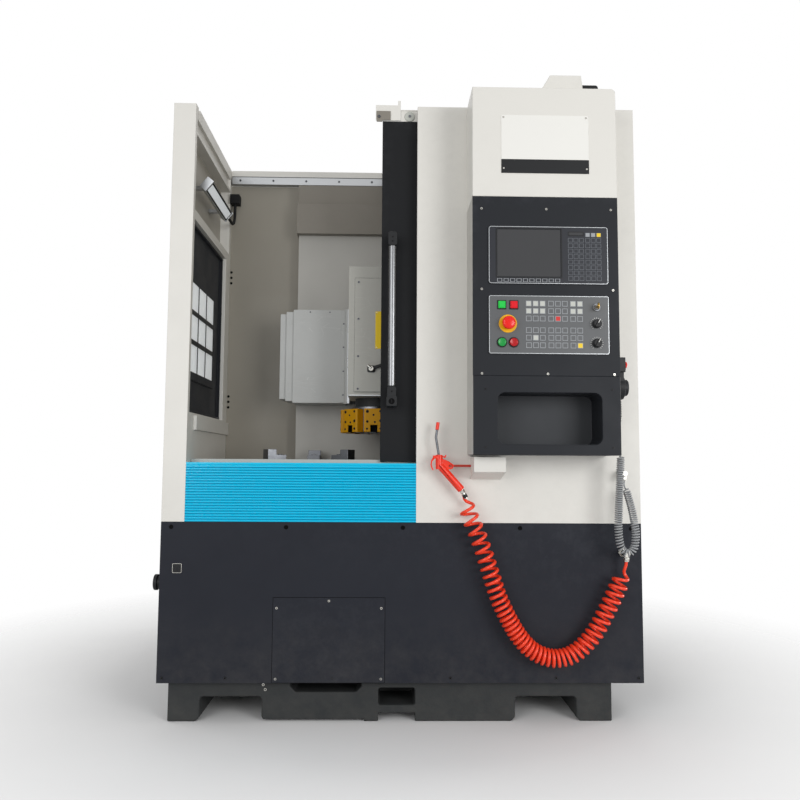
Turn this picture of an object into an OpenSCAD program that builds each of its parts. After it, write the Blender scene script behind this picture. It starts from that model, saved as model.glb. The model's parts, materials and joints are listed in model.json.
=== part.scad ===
// Vertical turning lathe with a sliding front door, a side door, a control box and a three-jaw chuck.
// Millimetres, X to the right seen from the operator's side, Y to the back, Z up.
// The origin is on the floor at the middle of the four anchor holes in the base.

/* [Base] */
// Width of the base casting
base_w = 1514; // [1440:1:1570]
// Depth of the base casting
base_d = 1440; // [1360:1:1480]
// Height of the base casting
base_h = 240; // [200:1:280]
// Width of each fork pocket
fork_w = 210; // [180:1:230]
// Height of each fork pocket
fork_h = 82; // [70:1:90]
// Radius of each anchor hole
anchor_r = 11; // [8:0.5:14]

/* [Enclosure] */
// Width of the sheet-metal body
body_w = 1650; // [1600:1:1760]
// Depth of the sheet-metal body
body_d = 1500; // [1490:1:1600]
// How far the body sits to the right of the base
body_shift = 35; // [0:1:50]
// Height of the lower edge of the dark lower panels
skirt_z = 135; // [120:1:150]
// Height of the upper edge of the dark lower panels
skirt_top = 672; // [640:1:700]
// Height of the body
body_top = 2155; // [2140:1:2300]
// Sheet thickness
sheet = 3; // [2:0.5:4]
// Width of the left door jamb
jamb_w = 79; // [70:1:90]
// Width of the front doorway
doorway_w = 792; // [760:1:820]
// Depth of the work chamber
chamber_d = 640; // [620:1:680]
// Height of the door sill
sill_z = 875; // [860:1:890]
// Number of ribs on the sill panel
sill_ribs = 21; // [12:1:24]

/* [Sliding door] */
// Thickness of the sliding door
door_t = 40; // [30:1:45]
// Width of the sliding door
door_w = 800; // [780:1:820]
// Height of the top edge of the sliding door
door_top = 2120; // [2100:1:2125]
// Width of the open door that shows beside the right panel
door_show = 126; // [110:1:140]
// Radius of the handle bar
handle_r = 14; // [10:0.5:18]
// Length of the handle bar between its mounts
handle_len = 497; // [300:1:600]

/* [Side door] */
// Width of the side door opening
side_w = 535; // [480:1:550]
// Height of the side door opening
side_h = 690; // [620:1:700]
// Height of the lower edge of the side door opening
side_z = 1050; // [1030:1:1060]

/* [Spindle and chuck] */
// Radius of the chuck
chuck_r = 200; // [160:1:210]
// Height of the chuck body
chuck_h = 105; // [90:1:115]
// Height of the chuck's top face above the floor
chuck_top = 865; // [850:1:880]
// Width of each jaw
jaw_w = 50; // [40:1:60]
// Height of each jaw above the chuck
jaw_h = 60; // [40:1:70]
// Radius of the spindle shaft
shaft_r = 70; // [50:1:75]
// Radial running clearance of shafts
run_gap = 0.05; // [0.02:0.01:0.1]

/* [Slides and turret] */
// Distance of the turret axis to the right of the spindle axis
turret_off = 246; // [230:1:270]
// Width of the ram
ram_w = 200; // [180:1:220]
// Height of the ram
ram_h = 495; // [460:1:540]
// Height of the ram's lower face
ram_z = 1125; // [1110:1:1160]
// Length of one way cover
way_len = 210; // [200:1:220]
// Height of the outer way cover
way_h = 380; // [340:1:400]
// Number of turret stations
stations = 8; // [6:2:8]
// Distance from the turret axis to the outer faces of the tool blocks
turret_r = 130; // [125:1:140]
// Height of a tool block
block_h = 88; // [70:1:95]
// Width of the square tool slot
slot_w = 26; // [20:1:32]

/* [Control box] */
// Width of the control box
hmi_w = 487; // [450:1:500]
// Depth of the control box
hmi_d = 165; // [150:1:200]
// Height of the lower face of the control box
hmi_z = 905; // [890:1:920]
// Height of the control box
hmi_h = 863; // [840:1:900]
// Width of the storage pocket
pocket_w = 343; // [300:1:360]
// Height of the storage pocket
pocket_h = 169; // [120:1:180]
// Depth of the storage pocket
pocket_d = 125; // [90:1:135]
// Width of the screen unit and of the operator panel
unit_w = 399; // [380:1:410]
// Height of the screen unit and of the operator panel
unit_h = 195; // [185:1:200]
// Radius of the emergency stop head
estop_r = 20; // [15:0.5:24]
// Radius of the round push-buttons
button_r = 14; // [10:0.5:16]
// Radius of the override knobs
knob_r = 15; // [10:0.5:18]

/* [Hose and hand pendant] */
// Outer radius of the coiled air hose
hose_r = 32; // [24:1:34]
// Outer radius of the coiled pendant cable
curl_r = 14; // [8:0.5:15]
// Radius of the pendant handwheel
wheel_r = 27; // [20:0.5:32]

/* [Hidden] */
fn = 64;
gap = 0.3;
body_l = body_shift - body_w / 2;
body_r = body_shift + body_w / 2;
front_y = -body_d / 2;
rear_y = body_d / 2;
way_l = body_l + jamb_w;
way_r = way_l + doorway_w;
wall_y = front_y + chamber_d;
cab_y = rear_y - 420;
beam_z = body_top - 69;
anchor_x = base_w / 2 - 57;
anchor_y = base_d / 2 - 70;
fork_l0 = -base_w / 2 + 107;
fork_l1 = fork_l0 + fork_w;
fork_r1 = base_w / 2 - 123;
fork_r0 = fork_r1 - fork_w;
mid_l = fork_l1 + 396;
mid_r = mid_l + 125;

door_y = front_y + 45;
door_l = way_r - door_show;
door_r = door_l + door_w;
door_z = sill_z + 5;
door_c = door_y + door_t / 2;
ledge_y = front_y + 100;
win_l = door_l + 160;
win_r = door_r - 100;
win_z0 = door_z + 300;
win_z1 = door_top - 240;
bar_x = door_l + 39;
bar_y = door_y - 47;
bar_z0 = sill_z + 268;
bar_z1 = bar_z0 + handle_len;

side_y0 = front_y + 25;
side_y1 = side_y0 + side_w;
side_z1 = side_z + side_h;
pane_y0 = side_y0 + 40;
pane_y1 = side_y1 - 134;
pane_z0 = side_z + 151;
pane_z1 = side_z1 - 213;
leaf_x = way_l - 13;
pin_x = body_l - 9;
pin_y = side_y1 + 6;
pin_z = [side_z + 90, side_z1 - 170];

spin_x = (way_l + way_r) / 2;
spin_y = front_y + 330;
chuck_z = chuck_top - chuck_h;
nose_z = chuck_z - 25;
pan_z = nose_z - 45;
bore_z = base_h + 230;

turret_x = spin_x + turret_off;
turret_y = spin_y;
col_y = front_y + 565;
col_l = way_l + 311;
col_r = col_l + 780;
inner_x = col_r + 20;
way_z0 = ram_z - 10;
way_z1 = way_z0 + way_h;
way_y = col_y - 145;
rail_z = [way_z0 + 0.22 * way_h, way_z1 - 0.22 * way_h];
screw_z = (way_z0 + way_z1) / 2;
screw_y = col_y - 65;
sad_l = turret_x - ram_w / 2 - 23;
sad_r = turret_x + ram_w / 2 + 23;
sad_y = col_y - 115;
sad_top = ram_z + ram_h + 20;
col_top = sad_top + 202;
head_top = beam_z - 21;
head_y = col_y - 35;
step_z = head_top - 90;
way_l1 = sad_l - way_len;
way_step = [0, 30, 55];
ram_y0 = turret_y - 130;
ram_y1 = sad_y - 5;
guide_x = ram_w / 2 - 30;
neck_z = ram_z - 35;
turret_z1 = neck_z - 11;
turret_z0 = turret_z1 - block_h;
core_r = turret_r - 35;
block_w = 2 * core_r * tan(180 / stations) - 3;
swing = sqrt(turret_r * turret_r + block_w * block_w / 4);

hmi_r = body_r - 115;
hmi_l = hmi_r - hmi_w;
hmi_y = front_y - hmi_d;
hmi_top = hmi_z + hmi_h;
// spare height of the control box, shared out between its rows
row = (hmi_h - 2 * unit_h - pocket_h) / 304;
pocket_z = hmi_z + 35 * row;
seam_z = pocket_z + pocket_h + 56 * row;
hood_top = body_top - 7;
hood_r = 16;
unit_x = (hmi_l + hmi_r) / 2 + 8.5 - unit_w / 2;
op_z = seam_z + 71 * row;
scr_z = op_z + unit_h + 39 * row;
face_y = hmi_y - 5;
mid_x = (hmi_l + hmi_r) / 2 + 10;
duct_x = hmi_l + 235;

gun_x = hmi_l - 106;
gun_y = front_y - 45;
gun_z = hmi_z - 33;
box_l = hmi_l + 10;
fit_x = body_r - 68;
fit_y = gun_y;
fit_z = skirt_top - 97;
gland_x = body_r - 70;
gland_z = hmi_z - 60;
pend_x = hmi_r + 3;
pend_y = hmi_y + 70;
pend_z = hmi_z + 229;
relief_z = pend_z - 104;
lamp_x = way_l + 22;
lamp_z = body_top - 262;

// Round-cornered route of the air hose, as x, y, z and radius of each point
hose_route = [
    [gun_x + 81, gun_y, gun_z - 85, 9], [gun_x + 92, gun_y, gun_z - 104, 16],
    [gun_x + 108, gun_y, gun_z - 169, hose_r], [gun_x + 142, gun_y, gun_z - 252, hose_r],
    [gun_x + 178, gun_y, gun_z - 360, hose_r], [gun_x + 210, gun_y, gun_z - 455, hose_r],
    [gun_x + 266, gun_y, gun_z - 561, hose_r], [gun_x + 322, gun_y, gun_z - 620, hose_r],
    [(gun_x + fit_x) / 2 + 70, gun_y, fit_z - 346, hose_r], [fit_x - 182, gun_y, fit_z - 330, hose_r],
    [fit_x - 119, gun_y, fit_z - 272, hose_r], [fit_x - 70, gun_y, fit_z - 190, hose_r],
    [fit_x - 30, gun_y, fit_z - 110, hose_r], [fit_x - 5, gun_y, fit_z - 52, 16],
    [fit_x, gun_y, fit_z - 27, 9]];
// Route of the pendant cable, as x, y, z and radius of each point
curl_route = [
    [pend_x + 14, pend_y, relief_z, 4], [pend_x + 14, pend_y, relief_z - 60, 4],
    [pend_x + 15, pend_y, relief_z - 118, 4], [pend_x + 15, pend_y, relief_z - 140, curl_r],
    [pend_x + 10, pend_y, relief_z - 230, curl_r], [pend_x + 5, pend_y, relief_z - 320, curl_r],
    [pend_x + 4, pend_y, relief_z - 385, curl_r], [pend_x + 12, pend_y, relief_z - 430, curl_r],
    [pend_x + 33, pend_y, relief_z - 448, curl_r], [pend_x + 54, pend_y, relief_z - 430, curl_r],
    [pend_x + 61, pend_y, relief_z - 385, curl_r], [pend_x + 59, pend_y + 5, relief_z - 350, curl_r],
    [gland_x + 14, pend_y + 20, gland_z - 120, curl_r],
    [gland_x + 6, fit_y - 10, gland_z - 66, curl_r], [gland_x, fit_y, gland_z - 42, 4],
    [gland_x, fit_y, gland_z - 24, 4]];

// Box between two corners given axis by axis
module box(x0, x1, y0, y1, z0, z1) {
    translate([x0, y0, z0])
        cube([x1 - x0, y1 - y0, z1 - z0]);
}

// Cylinder along Y
module rod_y(x, z, y0, y1, r) {
    translate([x, y0, z])
        rotate([-90, 0, 0])
            cylinder(r = r, h = y1 - y0, $fn = fn);
}

// Cylinder along X
module rod_x(y, z, x0, x1, r) {
    translate([x0, y, z])
        rotate([0, 90, 0])
            cylinder(r = r, h = x1 - x0, $fn = fn);
}

// Cylinder along Z
module rod_z(x, y, z0, z1, r) {
    translate([x, y, z0])
        cylinder(r = r, h = z1 - z0, $fn = fn);
}

// Rod between two points of one plane of constant y
module rod_xz(x0, z0, x1, z1, y, r) {
    run = norm([x1 - x0, z1 - z0]);
    translate([x0, y, z0])
        rotate([0, atan2(x1 - x0, z1 - z0), 0])
            cylinder(r = r, h = run, $fn = fn);
}

// Block with round edges along Y
module soft_y(x0, x1, z0, z1, y0, y1, r) {
    box(x0 + r, x1 - r, y0, y1, z0, z1);
    box(x0, x1, y0, y1, z0 + r, z1 - r);
    for (x = [x0 + r, x1 - r], z = [z0 + r, z1 - r])
        rod_y(x, z, y0, y1, r);
}

// Turned shape along -Y from a point: pairs of radius and height
module turned_y(x, y, z, pts) {
    translate([x, y, z])
        rotate([90, 0, 0])
            rotate_extrude($fn = fn)
                polygon(pts);
}

// Turned shape along X from a point: pairs of radius and height
module turned_x(x, y, z, pts) {
    translate([x, y, z])
        rotate([0, 90, 0])
            rotate_extrude($fn = fn)
                polygon(pts);
}

// Hexagon nut along Z, or along Y where flat is true
module nut(x, y, z, r, h, flat) {
    translate([x, y, z])
        rotate([flat ? -90 : 0, 0, 0])
            cylinder(r = r, h = h, $fn = 6);
}

// Flat outline of y and z points, run along X
module run_x(x0, x1, pts) {
    translate([x0, 0, 0])
        rotate([90, 0, 90])
            linear_extrude(x1 - x0)
                polygon(pts);
}

// Flat outline of x and z points, run along Y
module run_y(y0, y1, pts) {
    translate([0, y1, 0])
        rotate([90, 0, 0])
            linear_extrude(y1 - y0)
                polygon(pts);
}

// Point at t on the smooth curve from b to c
function blend(a, b, c, d, t) =
    0.5 * (2 * b + (c - a) * t + (2 * a - 5 * b + 4 * c - d) * t * t + (3 * b - a - 3 * c + d) * t * t * t);

// Smooth route through the points, n steps to a span
function smooth(p, n) = [
    for (i = [0 : len(p) - 2], k = [0 : n - 1])
        blend(p[max(i - 1, 0)], p[i], p[i + 1], p[min(i + 2, len(p) - 1)], k / n),
    p[len(p) - 1]];

function xyz(p) = [p[0], p[1], p[2]];

function unit(v) = v / norm(v);

// Tube swept along route points that hold their own radius
module sweep(route, first, last, sides) {
    p = smooth(route, 3);
    n = len(p);
    heads = [for (i = [0 : n - 1])
        i == 0 ? unit(first) : i == n - 1 ? unit(last) : unit(xyz(p[i + 1]) - xyz(p[i - 1]))];
    points = [for (i = [0 : n - 1])
        let (u = unit(cross(heads[i], [0, 1, 0])), v = cross(u, heads[i]))
            for (j = [0 : sides - 1])
                xyz(p[i]) + p[i][3] * (cos(j * 360 / sides) * u + sin(j * 360 / sides) * v)];
    skin = [for (i = [0 : n - 2], j = [0 : sides - 1])
        let (k = (j + 1) % sides)
            [i * sides + j, i * sides + k, (i + 1) * sides + k, (i + 1) * sides + j]];
    tri = [for (q = skin) each [[q[0], q[2], q[1]], [q[0], q[3], q[2]]]];
    ends = [[for (j = [0 : sides - 1]) j], [for (j = [sides - 1 : -1 : 0]) (n - 1) * sides + j]];
    polyhedron(points, concat(tri, ends), convexity = 8);
}

// Front view of the base, feet and fork pockets
module base_profile() {
    difference() {
        translate([-base_w / 2, 0])
            square([base_w, base_h]);
        for (x = [fork_l0, fork_r0]) {
            translate([x, -1])
                square([fork_w, fork_h - 11]);
            translate([x + 12, 0])
                square([fork_w - 24, fork_h]);
            for (c = [x + 12, x + fork_w - 12])
                translate([c, fork_h - 12])
                    circle(r = 12, $fn = fn);
            polygon([[x - 14, -1], [x + 1, -1], [x + 1, 14]]);
            polygon([[x + fork_w + 14, -1], [x + fork_w - 1, -1], [x + fork_w - 1, 14]]);
        }
        translate([fork_l1 - 1, -1])
            square([349, 9]);
    }
}

module base_casting() {
    color("#3c4146")
        difference() {
            rotate([90, 0, 0])
                linear_extrude(base_d, center = true)
                    base_profile();
            // window and slot in the front of the middle web
            soft_y(mid_l, mid_r, 54, 111, -base_d / 2 - 1, -base_d / 2 + 160, 8);
            box(mid_l, mid_r, -base_d / 2 - 1, -base_d / 2 + 160, -1, 28);
            // notch above the left block for the oil tray
            run_y(-base_d / 2 - 1, -base_d / 2 + 180, [[mid_l - 300, base_h + 1], [mid_l - 300, 116],
                [mid_l - 282, 98], [mid_l - 76, 98], [mid_l - 58, 116], [mid_l - 58, base_h + 1]]);
            // hollows under the two blocks
            for (y = [-base_d / 2 + 240, 40]) {
                box(fork_l1 + 45, mid_l - 95, y, y + base_d / 2 - 280, -1, base_h - 45);
                box(mid_r + 45, fork_r0 - 45, y, y + base_d / 2 - 280, -1, base_h - 45);
            }
            // anchor holes and the nut pockets above them
            for (sx = [-1, 1], sy = [-1, 1]) {
                rod_z(sx * anchor_x, sy * anchor_y, -1, 46, anchor_r);
                translate([sx * (anchor_x + 40), sy * anchor_y, 85])
                    cube([140, 90, 80], center = true);
            }
        }
}

module lower_panels() {
    color("#2b2e32") {
        // front sheet with its opening, upper fold and lower fold
        difference() {
            union() {
                box(body_l, body_r, front_y, front_y + sheet, skirt_z, skirt_top);
                box(body_l, body_r, front_y, front_y + 40, skirt_top - sheet, skirt_top);
                box(body_l, body_r, front_y, -base_d / 2, skirt_z, skirt_z + sheet);
            }
            box(way_l + 330, way_l + 665, front_y - 1, front_y + sheet + 1, skirt_z + 25, skirt_z + 262);
        }
        // left sheet
        box(body_l, body_l + sheet, front_y + sheet, rear_y - sheet, skirt_z, skirt_top - sheet);
        box(body_l, -base_w / 2, -base_d / 2, base_d / 2, skirt_z, skirt_z + sheet);
        box(body_l, body_l + 40, front_y + 40, rear_y - 40, skirt_top - sheet, skirt_top);
        // right sheet
        box(body_r - sheet, body_r, front_y + sheet, rear_y - sheet, skirt_z, skirt_top - sheet);
        box(base_w / 2, body_r, -base_d / 2, base_d / 2, skirt_z, skirt_z + sheet);
        box(body_r - 40, body_r, front_y + 40, rear_y - 40, skirt_top - sheet, skirt_top);
        // rear sheet
        box(body_l, body_r, rear_y - sheet, rear_y, skirt_z, skirt_top);
        box(body_l, body_r, rear_y - 40, rear_y, skirt_top - sheet, skirt_top);
        box(body_l, body_r, base_d / 2, rear_y, skirt_z, skirt_z + sheet);
    }
}

module front_access_cover() {
    color("#2b2e32")
        box(way_l + 308, way_l + 687, front_y - 2, front_y, skirt_z + 2, skirt_z + 283);
}

module filler_cap() {
    color("#1c1d1f") {
        rod_x(front_y + 40, skirt_z + 328, body_l - 14, body_l, 20);
        rod_x(front_y + 40, skirt_z + 328, body_l - 26, body_l - 14, 27);
    }
}

module spindle_housing() {
    color("#55595d")
        difference() {
            union() {
                rod_z(spin_x, spin_y, base_h, base_h + 35, 225);
                rod_z(spin_x, spin_y, base_h + 30, pan_z, 195);
                rod_z(spin_x, spin_y, pan_z - 5, nose_z - gap, 165);
            }
            rod_z(spin_x, spin_y, base_h - 1, nose_z, shaft_r + run_gap);
            rod_z(spin_x, spin_y, base_h - 1, bore_z, 150);
        }
}

module spindle_motor() {
    color("#6b6f73")
        difference() {
            rod_z(spin_x, spin_y, base_h, bore_z - 20, 149);
            rod_z(spin_x, spin_y, base_h - 1, bore_z, shaft_r + 10);
        }
}

module spindle() {
    color("#a9adb1") {
        rod_z(spin_x, spin_y, base_h + 15, nose_z + 1, shaft_r);
        rod_z(spin_x, spin_y, base_h + 40, bore_z - 20, shaft_r + 8);
        rod_z(spin_x, spin_y, nose_z, chuck_z, min(130, chuck_r - 25));
    }
}

module chuck() {
    // shallow turned rings in the face
    rings = [0.86 * chuck_r, 0.6 * chuck_r];
    groove = [[1.5, 0], [1.5, -2], [-1.5, -2], [-1.5, 0]];
    color("#9a9ea2")
        difference() {
            union() {
                translate([spin_x, spin_y, 0])
                    rotate_extrude($fn = fn)
                        polygon(concat([[0, chuck_z], [chuck_r - 12, chuck_z], [chuck_r - 12, chuck_z + 18],
                            [chuck_r, chuck_z + 18], [chuck_r, chuck_top - 4], [chuck_r - 4, chuck_top]],
                            [for (r = rings, p = groove) [r + p[0], chuck_top + p[1]]],
                            [[0, chuck_top]]));
                rod_z(spin_x, spin_y, chuck_top - 1, chuck_top + 5, 38);
            }
            for (a = [90, 210, 330])
                translate([spin_x, spin_y, 0])
                    rotate(a)
                        box(52, chuck_r + 1, -15.3, 15.3, chuck_top - 26, chuck_top + 1);
        }
}

// Stepped jaw that stands at angle a, with its tongue in the chuck's slot
module jaw(a) {
    in = 0.36 * chuck_r;
    out = chuck_r - 14;
    color("#7d8286")
        translate([spin_x, spin_y, 0])
            rotate(a) {
                box(in, out, -15, 15, chuck_top - 25, chuck_top + 2);
                translate([0, jaw_w / 2, 0])
                    rotate([90, 0, 0])
                        linear_extrude(jaw_w)
                            polygon([[in, chuck_top + gap], [out, chuck_top + gap],
                                [out, chuck_top + jaw_h], [0.3 * in + 0.7 * out, chuck_top + jaw_h],
                                [0.3 * in + 0.7 * out, chuck_top + 0.66 * jaw_h],
                                [0.65 * in + 0.35 * out, chuck_top + 0.66 * jaw_h],
                                [0.65 * in + 0.35 * out, chuck_top + 0.33 * jaw_h],
                                [in, chuck_top + 0.33 * jaw_h]]);
            }
}

module chuck_jaw_1() {
    jaw(90);
}

module chuck_jaw_2() {
    jaw(210);
}

module chuck_jaw_3() {
    jaw(330);
}

module column() {
    color("#6f7376")
        difference() {
            union() {
                box(col_l, col_r, col_y, col_y + 420, base_h, col_top);
                // two cross rails
                for (z = rail_z)
                    box(col_l + 10, col_r - 10, col_y - 30, col_y + 1, z - 15, z + 15);
                // bearing blocks of the cross screw
                for (x = [col_l + 5, col_r - 25])
                    box(x, x + 20, screw_y - 35, col_y + 1, screw_z - 35, screw_z + 35);
            }
            box(col_l + 60, col_r - 60, col_y + 60, col_y + 360, base_h - 1, col_top + 1);
            rod_x(screw_y, screw_z, col_l, col_r, 20 + run_gap);
        }
}

module column_cover() {
    color("#d5d2c8") {
        // cladding folded round the column, with a window for the cross rails
        difference() {
            box(col_l - sheet, col_r + sheet, col_y - sheet, wall_y - sheet, pan_z + sheet, col_top + 5);
            box(col_l, col_r, col_y, wall_y, pan_z, col_top + 6);
            box(col_l - 5, col_r + 5, col_y - sheet - 1, col_y + 1, way_z0 + 6, way_z1 - 6);
        }
        // head box over the top of the column, with its upper part set back
        difference() {
            union() {
                box(col_l - 10, col_r + 10, head_y, wall_y - sheet, col_top + 5, step_z);
                box(col_l - 6, col_r + 6, head_y + 22, wall_y - sheet, step_z - 1, head_top);
            }
            box(col_l - 10 + sheet, col_r + 10 - sheet, head_y + sheet, wall_y, col_top + 5 + sheet,
                step_z - sheet);
            box(col_l - 6 + sheet, col_r + 6 - sheet, head_y + 22 + sheet, wall_y, step_z - sheet - 1,
                head_top - sheet);
        }
    }
}

module sill_panel() {
    pitch = (sill_z - skirt_top - 8) / sill_ribs;
    ribs = [for (i = [0 : sill_ribs - 1])
        let (z = skirt_top + i * pitch)
            each [[front_y + 2.5, z], [front_y, z + 0.2 * pitch], [front_y, z + 0.6 * pitch],
                [front_y + 2.5, z + 0.8 * pitch]]];
    color("#3fb7c9") {
        run_x(way_l, way_r, concat(ribs,
            [[front_y + 2.5, sill_z - 8], [front_y, sill_z - 6], [front_y, sill_z], [ledge_y, sill_z],
            [ledge_y, sill_z - 3], [front_y + 6, sill_z - 3], [front_y + 6, skirt_top]]));
        box(way_r - 1, body_r - sheet, front_y + sheet, ledge_y, sill_z - 3, sill_z);
        box(way_l + 2, body_r - 10, door_c - 5, door_c + 5, sill_z - 1, sill_z + 12);
    }
}

module chip_pan() {
    color("#c9c6bc")
        difference() {
            union() {
                box(way_l, inner_x, ledge_y - 3, col_y - sheet, pan_z, pan_z + sheet);
                box(way_l, col_l - sheet, col_y - sheet - 1, wall_y, pan_z, pan_z + sheet);
                box(col_r + sheet, inner_x, col_y - sheet - 1, wall_y, pan_z, pan_z + sheet);
                box(way_l, inner_x, ledge_y - 3, ledge_y, pan_z, sill_z - 3);
            }
            rod_z(spin_x, spin_y, pan_z - 1, pan_z + sheet + 1, 166);
        }
}

module left_wall() {
    color("#e9e6de") {
        difference() {
            union() {
                box(body_l, way_l, front_y, cab_y, skirt_top, body_top);
                // ledge under the side door
                box(way_l - 1, way_l + 10, door_y + door_t + 5, wall_y, side_z - 60, side_z - 8);
            }
            // side door opening
            box(body_l - 1, way_l + 1, side_y0, side_y1, side_z, side_z1);
            // lamp recess, groove under the top rail, notch for the roof bracket and hollow rear part
            box(way_l - 40, way_l + 1, side_y0, wall_y - 30, side_z1 + 35, body_top - 105);
            box(way_l - 12, way_l + 1, side_y0, wall_y - 30, body_top - 93, body_top - 47);
            box(way_l - 30, way_l + 1, door_y - 8, door_y + 14, door_top - 5, body_top + 1);
            box(body_l + sheet, way_l + 1, wall_y + 20, cab_y - 20, skirt_top + 20, body_top - 20);
        }
        // hinge knuckles and pins of the side door
        for (z = pin_z) {
            rod_z(pin_x, pin_y, z, z + 40, 8);
            rod_z(pin_x, pin_y, z, z + 80, 4);
            box(body_l - 3, body_l, pin_y, pin_y + 40, z, z + 40);
            box(pin_x, body_l - 2, pin_y, pin_y + 7, z, z + 40);
        }
    }
}

module side_door() {
    y0 = side_y0 + 3;
    y1 = side_y1 - 3;
    z0 = side_z + 3;
    z1 = side_z1 - 3;
    color("#2f3134") {
        difference() {
            union() {
                // outer skin over a hollow leaf, whose front edge swings clear of the jamb
                box(body_l, body_l + sheet, y0, y1, z0, z1);
                difference() {
                    box(body_l, leaf_x, y0 + 5, y1, z0, z1);
                    box(body_l + sheet, leaf_x - 14, y0 + 8, y1 - 3, z0 + 3, z1 - 3);
                    box(leaf_x - 11, leaf_x + 1, y0 + 13, y1 - 8, z0 + 8, z1 - 8);
                    // drain holes
                    for (y = [y0 + 80, y1 - 80])
                        rod_z(body_l + 20, y, z0 - 1, z0 + 4, 5);
                }
                // raised frame round the window, and the lining of its opening
                box(leaf_x - 22, leaf_x - 3, pane_y0 - 20, pane_y1 + 28, pane_z0 - 30, pane_z1 + 58);
                box(body_l + 1, leaf_x - 3, pane_y0 - 3, pane_y1 + 3, pane_z0 - 3, pane_z1 + 3);
            }
            box(body_l - 1, leaf_x + 1, pane_y0, pane_y1, pane_z0, pane_z1);
        }
        // bars that divide the panes, behind the glass
        for (k = [1, 2]) {
            y = pane_y0 + k * (pane_y1 - pane_y0) / 3;
            z = pane_z0 + k * (pane_z1 - pane_z0) / 3;
            box(leaf_x - 24, leaf_x - 9, y - 5, y + 5, pane_z0 - 1, pane_z1 + 1);
            box(leaf_x - 24, leaf_x - 9, pane_y0 - 1, pane_y1 + 1, z - 13, z + 13);
        }
        // hinge knuckles
        for (z = pin_z)
            difference() {
                union() {
                    rod_z(pin_x, pin_y, z + 40 + gap, z + 80, 8);
                    box(body_l - 3, body_l + 1, pin_y - 40, pin_y - 10, z + 42, z + 80);
                    box(pin_x + 5, body_l, pin_y - 40, pin_y, z + 42, z + 80);
                }
                rod_z(pin_x, pin_y, z + 39, z + 81, 4 + run_gap);
            }
        // flush key lock near the front edge
        turned_x(body_l + 1, y0 + 26, (z0 + z1) / 2, [[0, 0], [14, 0], [14, -3], [12, -4], [0, -4]]);
    }
}

module side_door_glass() {
    color("#dfeaf0", 0.4)
        box(leaf_x - 9, leaf_x - 5, pane_y0, pane_y1, pane_z0, pane_z1);
}

module back_wall() {
    color("#d5d2c8") {
        difference() {
            union() {
                box(way_l, inner_x, wall_y, wall_y + sheet, skirt_top, beam_z + 10);
                box(way_l, body_r - sheet, wall_y, wall_y + 50, beam_z, body_top + 5);
                box(inner_x, inner_x + sheet, ledge_y, wall_y + sheet, skirt_top, beam_z - 8);
            }
            box(col_l, col_r, wall_y - 1, wall_y + sheet + 1, skirt_top - 1, col_top + 4);
        }
        // guide rail of the sliding roof
        box(way_l + 6, body_r - 20, wall_y - 28, wall_y, beam_z + 3, beam_z + 38);
    }
}

module right_front_panel() {
    color("#e9e6de") {
        box(way_r, body_r, front_y, front_y + sheet, skirt_top, body_top);
        box(way_r, way_r + sheet, front_y, front_y + 28, sill_z, body_top);
        box(way_r, body_r, front_y, front_y + 28, body_top - sheet, body_top);
    }
}

module right_side_shell() {
    color("#e9e6de") {
        box(body_r - sheet, body_r, front_y + sheet, cab_y, skirt_top, body_top - sheet);
        // fixed top sheet beside and behind the chamber
        box(inner_x, body_r - 1, ledge_y + 10, wall_y, beam_z - 8, beam_z - 5);
        box(inner_x + sheet, body_r - 1, wall_y - 1, cab_y, beam_z - 8, beam_z - 5);
        box(way_l, body_r - 1, wall_y + 50, cab_y, beam_z - 8, beam_z - 5);
    }
}

module rear_cabinet() {
    top = beam_z;
    color("#e2dfd7")
        difference() {
            union() {
                box(body_l, body_r, cab_y, rear_y - 3, skirt_top, top);
                for (s = [0, 1])
                    translate([s * body_w / 2, 0, 0])
                        box(body_l + 30, body_l + body_w / 2 - 30, rear_y - 4, rear_y, skirt_top + 40,
                            top - 40);
            }
            box(body_l + sheet, body_r - sheet, cab_y - 1, rear_y - 6, skirt_top + sheet, top - sheet);
            // louvres
            for (s = [0, 1], k = [0 : 6], z = [skirt_top + 100, top - 240])
                translate([s * body_w / 2, 0, 0])
                    box(body_l + body_w / 4 - 130, body_l + body_w / 4 + 130, rear_y - 7, rear_y + 1,
                        z + 20 * k, z + 20 * k + 7);
        }
}

module hood() {
    color("#e9e6de")
        difference() {
            union() {
                box(hmi_l, hmi_r - hood_r, hmi_y, front_y, hmi_top, hood_top);
                box(hmi_l, hmi_r, hmi_y, front_y, hmi_top, hood_top - hood_r);
                rod_y(hmi_r - hood_r, hood_top - hood_r, hmi_y, front_y, hood_r);
            }
            box(hmi_l + sheet, hmi_r - sheet, hmi_y + sheet, front_y + 1, hmi_top - 1,
                hood_top - hood_r - sheet);
        }
}

module top_duct() {
    color("#e4e1d9") {
        run_y(hmi_y + 35, hmi_y + 135, [[duct_x, hood_top], [duct_x + 153, hood_top],
            [duct_x + 146, hood_top + 64], [duct_x + 38, hood_top + 64]]);
        soft_y(duct_x + 140, duct_x + 213, hood_top + 10, hood_top + 46, hmi_y + 65, hmi_y + 105, 10);
    }
}

module hmi_box() {
    color("#3a3d41") {
        difference() {
            box(hmi_l, hmi_r, hmi_y, front_y, hmi_z, hmi_top);
            box(hmi_l - 1, hmi_r + 1, hmi_y - 1, hmi_y + sheet, seam_z, hmi_top + 1);
            box(hmi_l + 8, hmi_r - 8, hmi_y, front_y - 10, seam_z + 12, hmi_top - 8);
            soft_y(mid_x - pocket_w / 2, mid_x + pocket_w / 2, pocket_z, pocket_z + pocket_h,
                hmi_y - 1, hmi_y + pocket_d, 25);
        }
        // holder of the hand pendant
        box(hmi_r - 1, hmi_r + 3, pend_y - 35, pend_y + 35, pend_z - 44, pend_z + 128);
    }
}

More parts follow.
